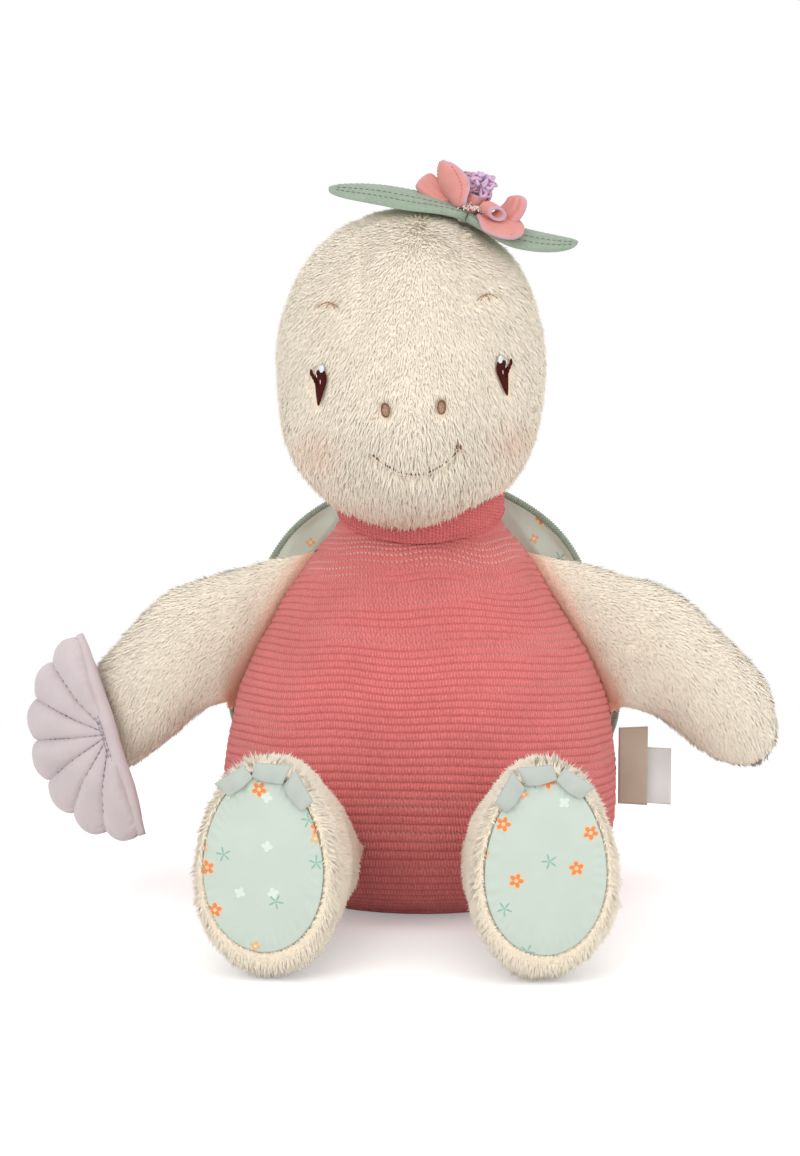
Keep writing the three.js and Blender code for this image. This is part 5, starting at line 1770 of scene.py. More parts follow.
@dataclass
class Arm:
    """A flipper sewn flat into the slanted side seam, which swells and droops to a hand."""

    side: Side
    body: Body
    reach: float
    drop: float
    height: float = 118
    sink: float = 0.85
    root_width: float = 72
    width: float = 50
    thickness: float = 34
    forward: float = 10
    wedge: float = 28
    inset: float = 2.0
    free: float = 0.34
    shoulder: float = 0.13
    blend: float = 22
    tufts: int = 27000

    @property
    def seam(self) -> tuple[Array, Array, Array]:
        """The seam's middle, its run up the body and the way out of it.

        Returns:
            The middle and the two ways, each of length 1.
        """
        sign = self.side.value
        slope = float(self.body.half(self.height + 1) - self.body.half(self.height - 1)) / 2
        out = unit(np.array([sign, 0, -slope]))
        side = np.array([sign * float(self.body.half(self.height)), 0, self.height])
        return side + out * (0.4 - self.sink), unit(np.array([sign * slope, 0, 1])), out

    def line(self, t: Array) -> Array:
        """The arm's middle line: a quadratic curve out and down to the hand.

        Args:
            t: shares of the way to the hand.

        Returns:
            The points.
        """
        start, sign = self.seam[0], self.side.value
        bend = start + np.array([sign * 0.64 * self.reach, 0, -0.06 * self.drop])
        end = start + np.array([sign * self.reach, -self.forward, -self.drop])
        t = np.asarray(t)[..., None]
        return (1 - t) ** 2 * start + 2 * t * (1 - t) * bend + t ** 2 * end

    def laid(self, points: Array) -> Array:
        """Points on the seam's straight line, laid on the body's rounded side.

        Args:
            points: points on the straight line.

        Returns:
            The points on the body.
        """
        out = self.seam[2]
        gap = (np.abs(points[..., 0]) - self.body.half(points[..., 2])) * abs(out[0])
        return points - (np.maximum(0, gap + self.sink - 0.4) + 0.4)[..., None] * out

    @staticmethod
    def fullness(t: Any) -> Array:
        """How full the arm is along its length: even, then rounding off to the tip."""
        return np.sqrt(np.maximum(0, 1 - np.maximum(0, (np.asarray(t, float) - 0.5) / 0.5) ** 2.6))

    def skin(self) -> tuple[Patch, Array]:
        """The arm's cloth, and the way it is combed.

        Each ring is an oval square to the middle line, turned to lie in the seam at its root,
        where it is flat: its half thickness grows from the seam at the slope of the wedge
        that the arm has to swing in. Between the seam and the first free ring the middle
        plane's lines are Hermite cubics, so that the skin doesn't fold in the armpit.

        Returns:
            The cloth, and a way for each of its points.
        """
        _, along, out = self.seam
        t = np.concatenate([np.linspace(0, 0.9, 70),
                            1 - 0.1 * (1 - np.linspace(0.05, 1, 26)) ** 2])
        t[-1] = 0.9985
        centre = self.line(t)
        run = unit(np.gradient(centre, t, axis=0))
        cross = unit(np.cross(run, Y) * self.side.value)
        settle = smooth(t, 0.0, 0.32)[:, None]
        across = unit(mix(along, cross, settle))
        deep = unit(np.cross(unit(mix(out, run, settle)), across))
        full = self.fullness(t)
        angle = full_turn(120)
        above = smooth(np.cos(angle), 0.2, 1.0)
        half = mix(self.root_width, self.width, smooth(t, -0.1, 0.62)[:, None]) / 2
        half = half * (1 + above * mix(self.shoulder, 0, smooth(t, 0.0, 0.6)[:, None]))
        half = (half * mix(1.13, 1.0, settle) - self.inset) * full[:, None]
        away = t * (0.93 * np.hypot(self.reach, self.drop) * 1.06)
        roomy = 1.4 + away * np.tan(np.radians(self.wedge)) * 1.12
        body_half = self.thickness / 2 * full - self.inset * full
        thick = roomy * body_half / (roomy ** 3 + np.maximum(body_half, 1e-3) ** 3) ** (1 / 3)
        flat = centre[:, None] + (half * np.cos(angle))[..., None] * across[:, None]
        first = int(np.searchsorted(t, self.free))
        start, end = self.laid(flat[0]), flat[first]
        leave = 0.8 * (end - start) + 6.0 * out
        arrive = 0.6 * t[first] * (flat[first + 1] - end) / (t[first + 1] - t[first])
        s = (t[:first] / t[first])[:, None, None]
        flat[:first] = ((1 + 2 * s) * (1 - s) ** 2 * start + s * (1 - s) ** 2 * leave
                        + s ** 2 * (3 - 2 * s) * end + s ** 2 * (s - 1) * arrive)
        points = flat + (thick[:, None] * np.sin(angle))[..., None] * deep[:, None]
        around = unit(points - flat.mean(1, keepdims=True))
        soft = 0.6 * Ripple(26, 40 + self.side.value).value(points)
        points = points + around * (soft * smooth(t, 0.02, 0.2)[:, None])[..., None]
        seam_line = sum(bump_of(off * self.width / 2, 2.0)
                        for off in (np.minimum(angle, 2 * PI - angle), angle - PI))
        drawn = 0.9 * seam_line[None] * smooth(t, 0.05, 0.2)[:, None]
        points = points - around * drawn[..., None]
        onto = smooth(away, 1.5, 7.0)[:, None, None]
        comb = mix(0.5 * around - out, np.repeat(run[:, None], len(angle), 1) - 0.25 * Z, onto)
        skin = grid(points, True, (True, True)).outward()
        comb = np.vstack([comb.reshape(-1, 3), comb[0, :1], comb[-1, :1]])
        return skin, comb

    def build(self, fan: Fan | None = None) -> None:
        """The arm's fur, pressed flat where the fan lies on it.

        Args:
            fan: the fan that is sewn to the hand, if there is one.
        """
        middle, _, out = self.seam
        skin, comb = self.skin()
        away = (skin.points - middle) @ out
        trim = mix(0.45, 1.1, smooth(away, 1.0, 9.0))
        # Painted pink contact shade and bounce light from the body along the arm's root seam.
        skin.values = {"blush": 0.8 * (1 - smooth(away, -3, 6))}
        if fan:
            centre, _, _, face = fan.basis(self)
            high = (skin.points - centre) @ face
            limit = -fan.thickness / 2 - fan.gap - 1.2
            press = np.maximum(0, high - limit)
            skin.points = skin.points - press[:, None] * face
            near = smooth(press, 0.0, 0.6) + smooth(high, limit - 2.5, limit) * (press == 0)
            trim = trim * mix(1.0, 0.3, near)
        coat = Coat(self.tufts, seed=51 + self.side.value)
        name = f"arm_{self.side.word}"
        add_piece(f"{name}_fur", coat.grow(skin, comb, np.maximum(trim, 0.05)), FUR, name,
                  [f"{name}_skin", f"{name}_stuffing"],
                  ("torso", name, middle - out, middle + out * self.blend))


@dataclass
class Leg:
    """A stuffed leg sewn flat across the body's front, with a satin sole and three toe tabs."""

    side: Side
    body: Body
    spacing: float = 92
    hip: float = 38
    sink: float = 1.35
    length: float = 99
    splay: float = 6
    width: float = 54
    tall: float = 56
    wedge: float = 40
    foot: tuple[float, float] = (62, 91)
    egg: float = 0.1
    rounding: float = 0.14
    sole: tuple[float, float] = (48, 72)
    sole_rise: float = 4
    rim: float = 1.3
    tab: tuple[float, float, float] = (11, 8, 1.6)
    tab_angles: tuple[float, float, float] = (64, 97, 129)
    inset: float = 2.0
    blend: float = 26
    tufts: int = 40000

    @property
    def seam(self) -> tuple[Array, Array, Array]:
        """The seam's middle, its run across the body and the way out of it.

        Returns:
            The middle and the two ways, each of length 1.
        """
        wide = float(self.body.half(self.hip))
        deep = wide * self.body.ratio
        x = self.spacing / 2
        y = -deep * np.sqrt(1 - (x / wide) ** 2)
        out = unit(np.array([self.side.value * x / wide ** 2, y / deep ** 2, 0]))
        middle = np.array([self.side.value * x, y, self.hip]) + out * (0.4 - self.sink)
        return middle, np.cross(Z, out), out

    @property
    def ways(self) -> tuple[Array, Array]:
        """The leg's run to its sole, and the way across it.

        Returns:
            The two ways, each of length 1.
        """
        a, sign = np.radians(self.splay), self.side.value
        run = np.array([sign * np.sin(a), -np.cos(a), 0])
        return run, np.array([np.cos(a), sign * np.sin(a), 0])

    @property
    def foot_middle(self) -> float:
        """The height of the foot's middle."""
        return self.foot[1] / 2 - 0.5

    def oval(self, angle: Array, half: Array, high: Array) -> tuple[Array, Array]:
        """Places across and up round an egg-shaped oval."""
        return half * (1 - self.egg * np.sin(angle)) * np.cos(angle), high * np.sin(angle)

    def skin(self) -> tuple[Patch, Array, Array]:
        """The leg's cloth, the way it is combed, and the share along it of each point.

        Returns:
            The cloth, and a way and a share for each of its points.
        """
        middle, along, out = self.seam
        run, across = self.ways
        full = 1 - self.rounding
        turned = np.sin(np.linspace(0, 1, 24) * PI / 2)
        s = np.concatenate([np.linspace(0, full, 64, endpoint=False), mix(full, 1.0, turned)])
        over = np.sqrt(np.maximum(0, 1 - np.maximum(0, (s - full) / self.rounding) ** 2))
        swell = smooth(s, 0, full)
        late = s > full
        rim = self.rim
        half, high = (mix(sole / 2 + rim, mix(root, foot, swell) / 2, np.where(late, over, 1))
                      - self.inset * over
                      for sole, root, foot in zip(self.sole, (self.width, self.tall), self.foot))
        rise = np.where(late, mix(self.sole_rise, 0, over), 0)
        away = s * self.length
        room = 1.6 + away * np.tan(np.radians(self.wedge)) * 1.1
        high = room * high / (room ** 4 + high ** 4) ** 0.25
        settle = smooth(s, 0, 0.34)[:, None]
        lateral = unit(mix(along, across, settle))
        centre = middle + (self.length * s)[:, None] * run
        centre[:, 2] = mix(self.hip, self.foot_middle, swell) + rise
        angle = full_turn(130)
        wide, up = self.oval(angle, half[:, None], high[:, None])
        wide = wide * mix(1.08, 1.0, settle)
        points = centre[:, None] + wide[..., None] * lateral[:, None] + up[..., None] * Z
        for step in (0.6, 1.3):
            tuck = rim - 1.2 * step
            a, b = self.oval(angle, self.sole[0] / 2 + tuck, self.sole[1] / 2 + tuck)
            lip = centre[-1] - (0.9 * step) * run + a[:, None] * across + b[:, None] * Z
            points = np.concatenate([points, lip[None]])
        s = np.concatenate([s, [1.02, 1.04]])
        around = unit(points - points.mean(1, keepdims=True))
        loose = smooth(s, 0.03, 0.2) * (1 - smooth(s, 0.9, 1.0))
        soft = 0.7 * Ripple(28, 60 + self.side.value).value(points) * loose[:, None]
        points = points + around * soft[..., None]
        points[..., 2] = np.maximum(points[..., 2], 0.9)
        share = s[:, None, None]
        way = mix(0.5 * around - out, -0.6 * run - 0.5 * Z, smooth(share, 0.015, 0.07))
        way = mix(way, 0.8 * around - 0.5 * Z, smooth(share, 0.84, 0.95))
        way = mix(way, 0.4 * run - around, smooth(share, 0.985, 1.01))
        skin = grid(points, True, (True, True), along=s[:, None]).outward()
        comb = np.vstack([way.reshape(-1, 3), way[0, :1], way[-1, :1]])
        return skin, comb, skin.values.pop("along")

    def sole_centre(self) -> Array:
        """The middle of the sole.

        Returns:
            The place of the sole's middle.
        """
        centre = self.seam[0] + (self.length + 0.4) * self.ways[0]
        centre[2] = self.foot_middle + self.sole_rise
        return centre

    def sole_points(self, share: Array, angle: Array) -> Array:
        """The sole's face: a low cushion drawn in at its seam, with short gathers round it.

        Its height over the seam is 2.2 (1 - s^2)^0.7 and a half, with the gathers added.

        Args:
            share: how far out, from 0 to 1.
            angle: how far round, in radians.

        Returns:
            The points.
        """
        run, across = self.ways
        a, b = self.oval(angle, self.sole[0] / 2 * share, self.sole[1] / 2 * share)
        gather = 0.35 * np.sin(38 * angle + 3 * np.sin(5 * angle)) * smooth(share, 0.72, 0.97)
        place = np.stack([a, 0 * a, b], -1)
        high = (0.5 + 2.2 * np.clip(1 - share ** 2, 0, 1) ** 0.7 + gather * (1 - share ** 12)
                + 0.25 * Ripple(26, 71).value(place))
        return (self.sole_centre() + a[..., None] * across + b[..., None] * Z
                + high[..., None] * run)

    def tabs(self) -> None:
        """Three folded satin tabs caught in the top of the sole's seam, standing up against
        the fur. Each is a flattened roll of cloth, pinched at its foot."""
        run, across = self.ways
        word, sign = self.side.word, self.side.value
        wide, tall, thick = self.tab
        for place, degrees in zip(("outer", "middle", "inner"), self.tab_angles):
            a = np.radians(degrees)
            half = self.sole[0] / 2 * (1 - self.egg * np.sin(a))
            outer = across * sign
            edge = self.sole_centre() + outer * half * np.cos(a) + Z * self.sole[1] / 2 * np.sin(a)
            out = unit(outer * np.cos(a) / half + Z * np.sin(a) / (self.sole[1] / 2))
            level = unit(np.cross(out, run))
            u, v = np.meshgrid(np.linspace(-1, 1, 33), np.linspace(0, 1, 18))
            skew = np.sin(0.11 * degrees * sign)
            x = u * wide / 2 * mix(1.16, 1.3, v) + 1.2 * skew * v
            y = -2.6 + (tall - 0.6) * v * (1 + 0.14 * skew * u) + 0.8 * (1 - v) * u ** 2
            rise = np.sin(PI * np.clip(0.1 + 0.82 * v, 0, 1)) ** 0.5
            puff = 0.25 + thick * 0.7 * np.clip(1 - u ** 8, 0, 1) * rise
            wave = np.sin(5 * u * (1 - 0.6 * v) + degrees)
            fold = 0.45 * wave * (1 - 0.5 * v) + 2.4 - 1.2 * v ** 2
            body = edge + x[..., None] * level + y[..., None] * out + fold[..., None] * run
            over = puff[..., None] * run
            patch = plate(body + over, body - 0.3 * over, (wide, tall))
            name = f"toe_{word}_{place}"
            add_piece(f"{name}_tab", patch, TAB_SATEEN, f"leg_{word}", [name])

    def build(self) -> None:
        """The leg's fur, its sole, the sole's seam and the toe tabs."""
        middle, _, out = self.seam
        skin, comb, s = self.skin()
        away = (skin.points - middle) @ out
        up = skin.points[:, 2]
        trim = (0.7 + 0.3 * smooth(away, 1.0, 9.0)) * mix(1.0, 1.2, smooth(s, 0.88, 0.95))
        trim = trim * mix(1.0, 0.5, smooth(s, 0.985, 1.0)) * (s < 1.05)
        trim = trim * mix(0.35, 1.0, smooth(up, 0.9, 5.0))
        top = smooth(up - self.sole_centre()[2], 22, 40) * smooth(s, 0.4, 0.9)
        trim = trim * (1 + 0.4 * top * (s < 0.95))
        # Painted pink bounce light from the body on the fur near it.
        skin.values = {"blush": 0.45 * bump_of(away, 30)}
        coat = Coat(self.tufts, seed=81 + self.side.value)
        name, word = f"leg_{self.side.word}", self.side.word
        add_piece(f"{name}_fur", coat.grow(skin, comb, trim), FUR, name,
                  [f"{name}_skin", f"{name}_stuffing"],
                  ("torso", name, middle - out, middle + out * self.blend))
        share = np.concatenate([np.linspace(0.02, 0.85, 26), np.linspace(0.87, 1, 12)])
        a, v = np.meshgrid(full_turn(200), share)
        sole = self.sole_points(v, a)
        back = sole[-1] - 1.6 * self.ways[0]
        face = grid(np.concatenate([sole, back[None]]), True, (True, True), (170, 36)).outward()
        add_piece(f"sole_{word}_cushion", face, SOLE_SATEEN, name, [f"sole_{word}"])
        self.tabs()


# Carapace


@dataclass
class Carapace:
    """The padded shell on the back: a printed lining towards the toy, a quilted cover behind
    it, and an overlocked edge all round."""

    body: Body
    half: float = 86
    rise: float = 100
    drop: float = 77
    middle: float = 84
    padding: float = 22
    edge: float = 5.6
    clear: float = 1.8
    lobe: float = 0.012
    rims: tuple[float, float, float] = (27, 51, 60)
    ring: float = 0.52

    def place(self, share: Array, angle: Array, layer: Any) -> Array:
        """A point of the shell at a share of the way out, an angle round and a layer.

        The outline is an oval in x and z with eight faint lobes. Its depth follows the back
        near the middle and leaves it for the rim's own depth further out.

        Args:
            share: how far out, from 0 to 1.
            angle: how far round, in radians.
            layer: 0 on the lining, 1 on the cover.

        Returns:
            The points.
        """
        lobed = (1 + self.lobe * np.cos(8 * angle) * share ** 2) * share
        x = self.half * np.cos(angle) * lobed
        high = np.sin(angle) > 0
        z = self.middle + np.where(high, self.rise, self.drop) * np.sin(angle) * lobed
        rim = mix(self.rims[0], np.where(high, self.rims[1], self.rims[2]), np.sin(angle) ** 2)
        back = self.body.back(x, z)
        lift = rim - back
        soft = (lift + np.sqrt(lift ** 2 + 16)) / 2
        thick = mix(self.padding, self.edge, share ** 2.4)
        y = back + self.clear + smooth(share, 0.35, 1) * soft + layer * thick
        return np.stack([x, y, z], -1)

    def quilting(self, share: Array, angle: Array) -> Array:
        """How near a point is to the cover's stitched lines, 1 on them: a ring and six rays.

        Args:
            share: how far out, from 0 to 1.
            angle: how far round, in radians.

        Returns:
            The nearness.
        """
        ring = bump_of((share - self.ring - 0.02 * np.cos(6 * angle)) * self.half, 3.4)
        ray = np.abs(np.sin(3 * angle + 0.3)) / 3 * share * self.half
        return np.maximum(ring, bump_of(ray, 3.4)
                          * smooth(share, self.ring - 0.01, self.ring + 0.04))

    def folds(self, share: Array, angle: Array) -> Array:
        """Soft folds that run out to the rim and die away towards the middle."""
        wave = np.sin(9 * angle + 2 * np.sin(3 * angle)) + 0.6 * np.sin(17 * angle + 1)
        return wave * smooth(share, 0.45, 0.95) * (1.6 - 0.9 * smooth(share, 0.95, 1))

    def build(self) -> None:
        """The lining, the cover, the overlocked edge and the quilting stitches."""
        share = np.concatenate([np.linspace(0.03, 0.9, 60), np.linspace(0.91, 0.99, 14)])
        a, s = np.meshgrid(full_turn(300), share)
        inner = self.place(s, a, 0.06)
        soft = 0.4 * Ripple(24, 90).value(inner) * smooth(s, 0.4, 0.8)
        inner[..., 1] += self.folds(s, a) * 0.8 + soft
        behind = np.array([0, 400.0, self.middle])
        lining = grid(inner, True, (True, False), (560, 90)).outward(behind)
        add_piece("carapace_lining_sateen", lining, SHELL_SATEEN, "torso", ["carapace_lining"])
        outer = self.place(s, a, 0.97)
        drawn = 5.0 * self.quilting(s, a) * (1 - smooth(s, 0.93, 1))
        outer[..., 1] += (self.folds(s, a) * 0.8 + 0.8 * Ripple(40, 91).value(outer)
                          + 2.0 * (1 - s ** 6) - drawn)
        cover = grid(outer, True, (True, False), (560, 90)).outward(behind * (1, -1, 1))
        add_piece("carapace_cover_sateen", cover, COVER_SATEEN, "torso",
                  ["carapace_cover", "carapace_wadding"])
        angle = full_turn(2900)
        one = np.ones_like(angle)
        line = self.place(one * 0.995, angle, 0.5)
        line[:, 1] += self.folds(one, angle) * 0.8
        ribs = 2.45 + 0.28 * np.sin(angle * 480)
        out = unit(line - line.mean(0))
        edge = tubes(line[None], ribs[None], 14, out, 0.85, closed=True)
        add_piece("carapace_overlock", edge, PIPING, "torso", ["carapace_piping"])
        parts = []
        fine = np.linspace(0, 2 * PI, 240)
        lines = [(self.ring + 0.02 * np.cos(6 * fine), fine)]
        lines += [(np.linspace(self.ring, 0.93, 50), np.full(50, (k * PI - 0.3) / 3))
                  for k in range(6)]
        for s_line, a_line in lines:
            path = self.place(s_line, a_line, 0.97)
            path[:, 1] += self.folds(s_line, a_line) * 0.8 + 2.0 * (1 - s_line ** 6) - 4.6
            parts.append(stitches(path, 2.6, 1.2, 0.3, Y, 0.3))
        add_piece("carapace_quilting", join(parts), PIPING, "torso")


@dataclass
class Labels:
    """Two bare cloth labels caught in the right side seam: a folded ribbon, and a care label."""

    seam: float = 87.4
    height: float = 59
    woven: tuple[float, float] = (12.2, 34)
    care: tuple[float, float] = (24.2, 25)
    slant: float = 14
    cloth: float = 0.3

    def build(self) -> None:
        """A ribbon folded back on itself, and a single strip that slants and curls."""
        wide, tall = self.woven
        fold = np.linspace(0, PI, 7)[1:-1]
        flat = np.linspace(0, 1, 14)
        u = np.concatenate([flat, 1 + 0.045 * np.sin(fold), flat[::-1]])
        off = np.concatenate([0 * flat - 0.45, -0.45 * np.cos(fold), 0 * flat + 0.45])
        uu, vv = np.meshgrid(u, np.linspace(-0.5, 0.5, 30))
        x = self.seam + wide * uu
        y = off * (0.35 + 0.65 * np.clip(uu, 0, 1)) + 0.9 * uu ** 2 * np.sin(3.2 * vv + 0.6)
        z = self.height + tall * vv + 0.5 * uu * np.sin(2 * vv)
        ribbon = add_piece("label_woven_ribbon",
                           grid(np.stack([x, y, z], -1), False, size=(24, 34)),
                           BEIGE_RIBBON, "label_woven", ["label_woven"])
        wide, tall = self.care
        uu, vv = np.meshgrid(np.linspace(0, 1, 30), np.linspace(-0.5, 0.5, 24))
        a = np.radians(self.slant)
        x = self.seam + wide * uu * np.cos(a)
        y = 3.0 + wide * uu * np.sin(a) * 0.8 + 1.4 * uu ** 2 * np.sin(4 * vv - 0.5) - 0.8 * uu
        z = self.height - 4.5 + tall * vv - 1.6 * uu ** 1.5
        strip = add_piece("label_care_strip",
                          grid(np.stack([x, y, z], -1), False, size=(24, 25)),
                          WHITE_RIBBON, "label_care", ["label_care"])
        for piece, flat, held in ((ribbon, (0.0255, 0.034), "folded"),
                                  (strip, (0.0242, 0.025), "hung")):
            thicken(piece, self.cloth, 0.0)


# Flower


@dataclass
class Flower:
    """The cloth flower sewn on the crown, worked out in a frame whose z leaves the head."""

    head: Head
    across: float = 23
    ahead: float = 8
    lift: float = 0.4
    leaf_width: float = 26
    leaf: float = 4.6
    floor: float = 2.8
    ring: float = 7
    cloth: float = 2.3
    bud: tuple[float, float] = (10, 9.5)
    loop: tuple[float, float, float] = (9, -9, 7)
    yarn: tuple[float, float] = (14, 8)

    def crown(self, across: float, ahead: float) -> float:
        """The crown's height over a place across and ahead of the head's middle."""
        s = np.hypot(across / (self.head.width / 2), ahead / (self.head.depth / 2))
        return self.head.height / 2 * (1 - s ** self.head.crown) ** (1 / self.head.crown)

    def placed(self, points: Array) -> Array:
        """Points of the flower's frame, stood on the crown.

        Args:
            points: points in the flower's own frame.

        Returns:
            The points in the toy's frame.
        """
        top = self.crown(self.across, self.ahead)
        normal = unit(np.array([top - self.crown(self.across + 1, self.ahead),
                                self.crown(self.across, self.ahead + 1) - top, 1]))
        axis = unit(np.cross(Z, normal))
        foot = np.array([self.across, -self.ahead, top]) + normal * self.lift
        return self.head.to_frame(turn(points, axis, np.degrees(np.arccos(normal[2]))) + foot)

    def leaf_points(self, sign: int, length: float, rise: float, share: Array, u: Array,
                    up: Array) -> Array:
        """A point of a leaf: along it, across it from -1 to 1, and from its under side (0) to
        its upper (1). It swells as a sine, bends up or down by the square of the way along,
        and its two edges droop with the head.

        Args:
            sign: -1 for the left leaf, 1 for the right.
            length: the leaf's length.
            rise: how high its tip ends.
            share: how far along, from 0 to 1.
            u: how far across, from -1 to 1.
            up: 0 on the under side, 1 on the upper.

        Returns:
            The points.
        """
        swell = np.sqrt(np.maximum(0, np.sin(PI * (0.08 + 0.915 * share ** 0.9))))
        y = self.leaf_width / 2 * swell * u
        taper = np.sqrt(np.clip(1 - share ** 6, 0, 1))
        rim = np.sqrt(np.clip(1 - np.abs(u) ** 5, 0, 1)) * taper
        quilt = 1 - 0.22 * bump_of(np.abs(u) - 0.78, 0.09) - 0.12 * bump_of(np.abs(u) - 0.5, 0.09)
        z = (rise * share ** 2 - 3.4 * u ** 2 * smooth(share, 0.05, 0.5) * taper + self.leaf * 0.35
             + self.leaf / 2 * (2 * up - 1) * (0.18 + 0.82 * rim) * quilt)
        return np.stack([sign * (0.2 + length * share), y, z], -1)

    def leaves(self) -> None:
        """Two padded leaves with two rows of topstitching along their edges."""
        for side, length, rise in ((Side.LEFT, 58, -14), (Side.RIGHT, 48, 9)):
            name, shape = f"leaf_{side.word}", (side.value, length, rise)
            u, share = np.meshgrid(np.sin(np.linspace(-PI / 2, PI / 2, 40)), np.linspace(0, 1, 70))
            top, under = (self.placed(self.leaf_points(*shape, share, u, np.full_like(u, level)))
                          for level in (1.0, 0.0))
            patch = plate(top, under, (self.leaf_width, length))
            add_piece(f"{name}_cloth", patch, LEAF_COTTON, "head", [name])
            parts = []
            t = np.linspace(0.06, 0.955, 90)
            one = np.ones_like(t)
            up = unit(self.placed(Z[None])[0] - self.placed(np.zeros((1, 3)))[0])
            for row, level in ((0.8, 1.0), (0.55, 1.0), (0.93, 0.5), (0.8, 0.0)):
                for end in (-1, 1):
                    line = self.placed(self.leaf_points(*shape, t, row * end * one, level * one))
                    way = {1.0: up, 0.5: unit(up - Y), 0.0: -up}[level]
                    parts.append(stitches(line, 1.7, 0.7, 0.26, way, 0.25))
            add_piece(f"{name}_topstitch", join(parts), PIPING_DARK, "head")

    def petal_points(self, azimuth: float, start: float, end: float, length: float, width: float,
                     cup: float, blunt: float, twist: float, share: Array, u: Array,
                     high: Any) -> Array:
        """A point of a petal: its spine leaves the flower on a radius at one angle and ends at
        another; its half width swells and closes as 1 - share^blunt, its sides cup up, and it
        is twisted about its spine.

        Args:
            azimuth: the way it leaves the flower, in degrees.
            start: its spine's first angle over the level.
            end: its spine's last angle.
            length: its length.
            width: its width.
            cup: how far its sides turn up.
            blunt: how late its tip closes.
            twist: its twist, in degrees.
            share: how far along, from 0 to 1.
            u: how far across, from -1 to 1.
            high: the height off its under side.

        Returns:
            The points.
        """
        fine = np.linspace(0, 1, 200)
        pitch = np.radians(mix(start, end, fine))
        a = np.radians(azimuth)
        out, across = np.array([np.cos(a), np.sin(a), 0]), np.array([-np.sin(a), np.cos(a), 0])
        run = np.cos(pitch)[:, None] * out + np.sin(pitch)[:, None] * Z
        spine = self.ring * out + Z * self.floor + np.cumsum(run, 0) * length / 200
        lift = np.radians(mix(start, end, share))
        normal = -np.sin(lift)[..., None] * out + np.cos(lift)[..., None] * Z
        at = follow(share, fine, spine)
        foot = 0.35 + 0.6 * cup
        swell = foot + (1 - foot) * np.sin(PI / 2 * np.minimum(1, share / 0.6))
        half = width / 2 * swell * np.sqrt(np.clip(1.02 - share ** blunt, 0.04, 2))
        rise = cup * half * u ** 2 + high
        t = (np.radians(twist) * smooth(share, 0, 0.4))[..., None]
        level = np.cos(t) * across - np.sin(t) * normal
        upward = np.cos(t) * normal + np.sin(t) * across
        return at + (half * u)[..., None] * level + rise[..., None] * upward

    def petals(self) -> None:
        """Five petals of folded satin, with lines of stitching, thick and soft at the edges."""
        u, share = np.meshgrid(np.sin(np.linspace(-PI / 2, PI / 2, 30)), np.linspace(0, 1, 40))
        rim = np.sqrt(np.clip(1 - np.abs(u) ** 6, 0, 1)) * np.sqrt(np.clip(1 - share ** 16, 0, 1))
        edge = np.maximum(np.abs(u) ** 26, share ** 40)
        thread = []
        for name, rows, ridge, shape in (
                ("right", (-0.33, 0.33), 0.7, (350, 4, 112, 23, 11, 0.1, 16, -58)),
                ("back", (-0.8, 0.8), 0.0, (100, 24, 66, 18, 20, 0.3, 4, 0)),
                ("left", (-0.33, 0.33), 0.7, (172, 4, 22, 18, 10, 0.05, 20, 62)),
                ("upright", (-0.8, 0.8), 0.0, (192, 32, 74, 21, 19, 0.6, 3.2, -34)),
                ("front", (-0.55, -0.2), 0.0, (326, 8, 0, 21, 20, 0.1, 4, -24))):
            half = self.cloth / 2 * (0.3 + 0.7 * rim) * (1.3 - 0.3 * u ** 2)
            half = half + ridge * np.abs(np.cos(PI * 1.5 * u)) * rim
            top, under = (self.placed(self.petal_points(
                *shape, share, u, self.cloth / 2 + sign * half)) for sign in (1, -1))
            patch = plate(top, under, (shape[4], shape[3]), edge=edge)
            add_piece(f"petal_{name}_satin", patch, PETAL_CLOTH, "head", [f"petal_{name}"])
            t = np.linspace(0.08, 0.94, 60)
            for row in rows:
                for sign in (1, -1):
                    path, beyond = (self.placed(self.petal_points(
                        *shape, t, np.full_like(t, row), self.cloth / 2 + sign * high))
                        for high in (self.cloth * 0.52, 9.0))
                    thread.append(stitches(path, 1.2, 0.5, 0.17, unit(beyond - path), 0.12))
        add_piece("petal_stitches", join(thread), PETAL_THREAD, "head")

    def heart(self) -> None:
        """The rolled bud with its frayed seam, the small loop, and the ball of looped yarn."""
        rng = np.random.default_rng(17)
        width, tall = self.bud
        a, v = np.meshgrid(np.linspace(0, 3.6 * PI, 110), np.linspace(0, 1, 16))
        radius = mix(width / 2 - 0.7, 1.6, a / (3.6 * PI))
        radius = radius * (1 + 0.10 * np.cos(2 * a) + 0.05 * np.sin(PI * v))
        lean = 1.2 * v ** 2

        def rolled(grown: float) -> Array:
            """Places the roll.

            Args:
                grown: how far its radius is grown.

            Returns:
                The points.
            """
            r = radius + grown
            high = self.floor + tall * v * (0.94 + 0.06 * np.cos(a)) + 0.2
            return self.placed(np.stack([r * np.cos(a) + lean, r * np.sin(a) - lean, high], -1))

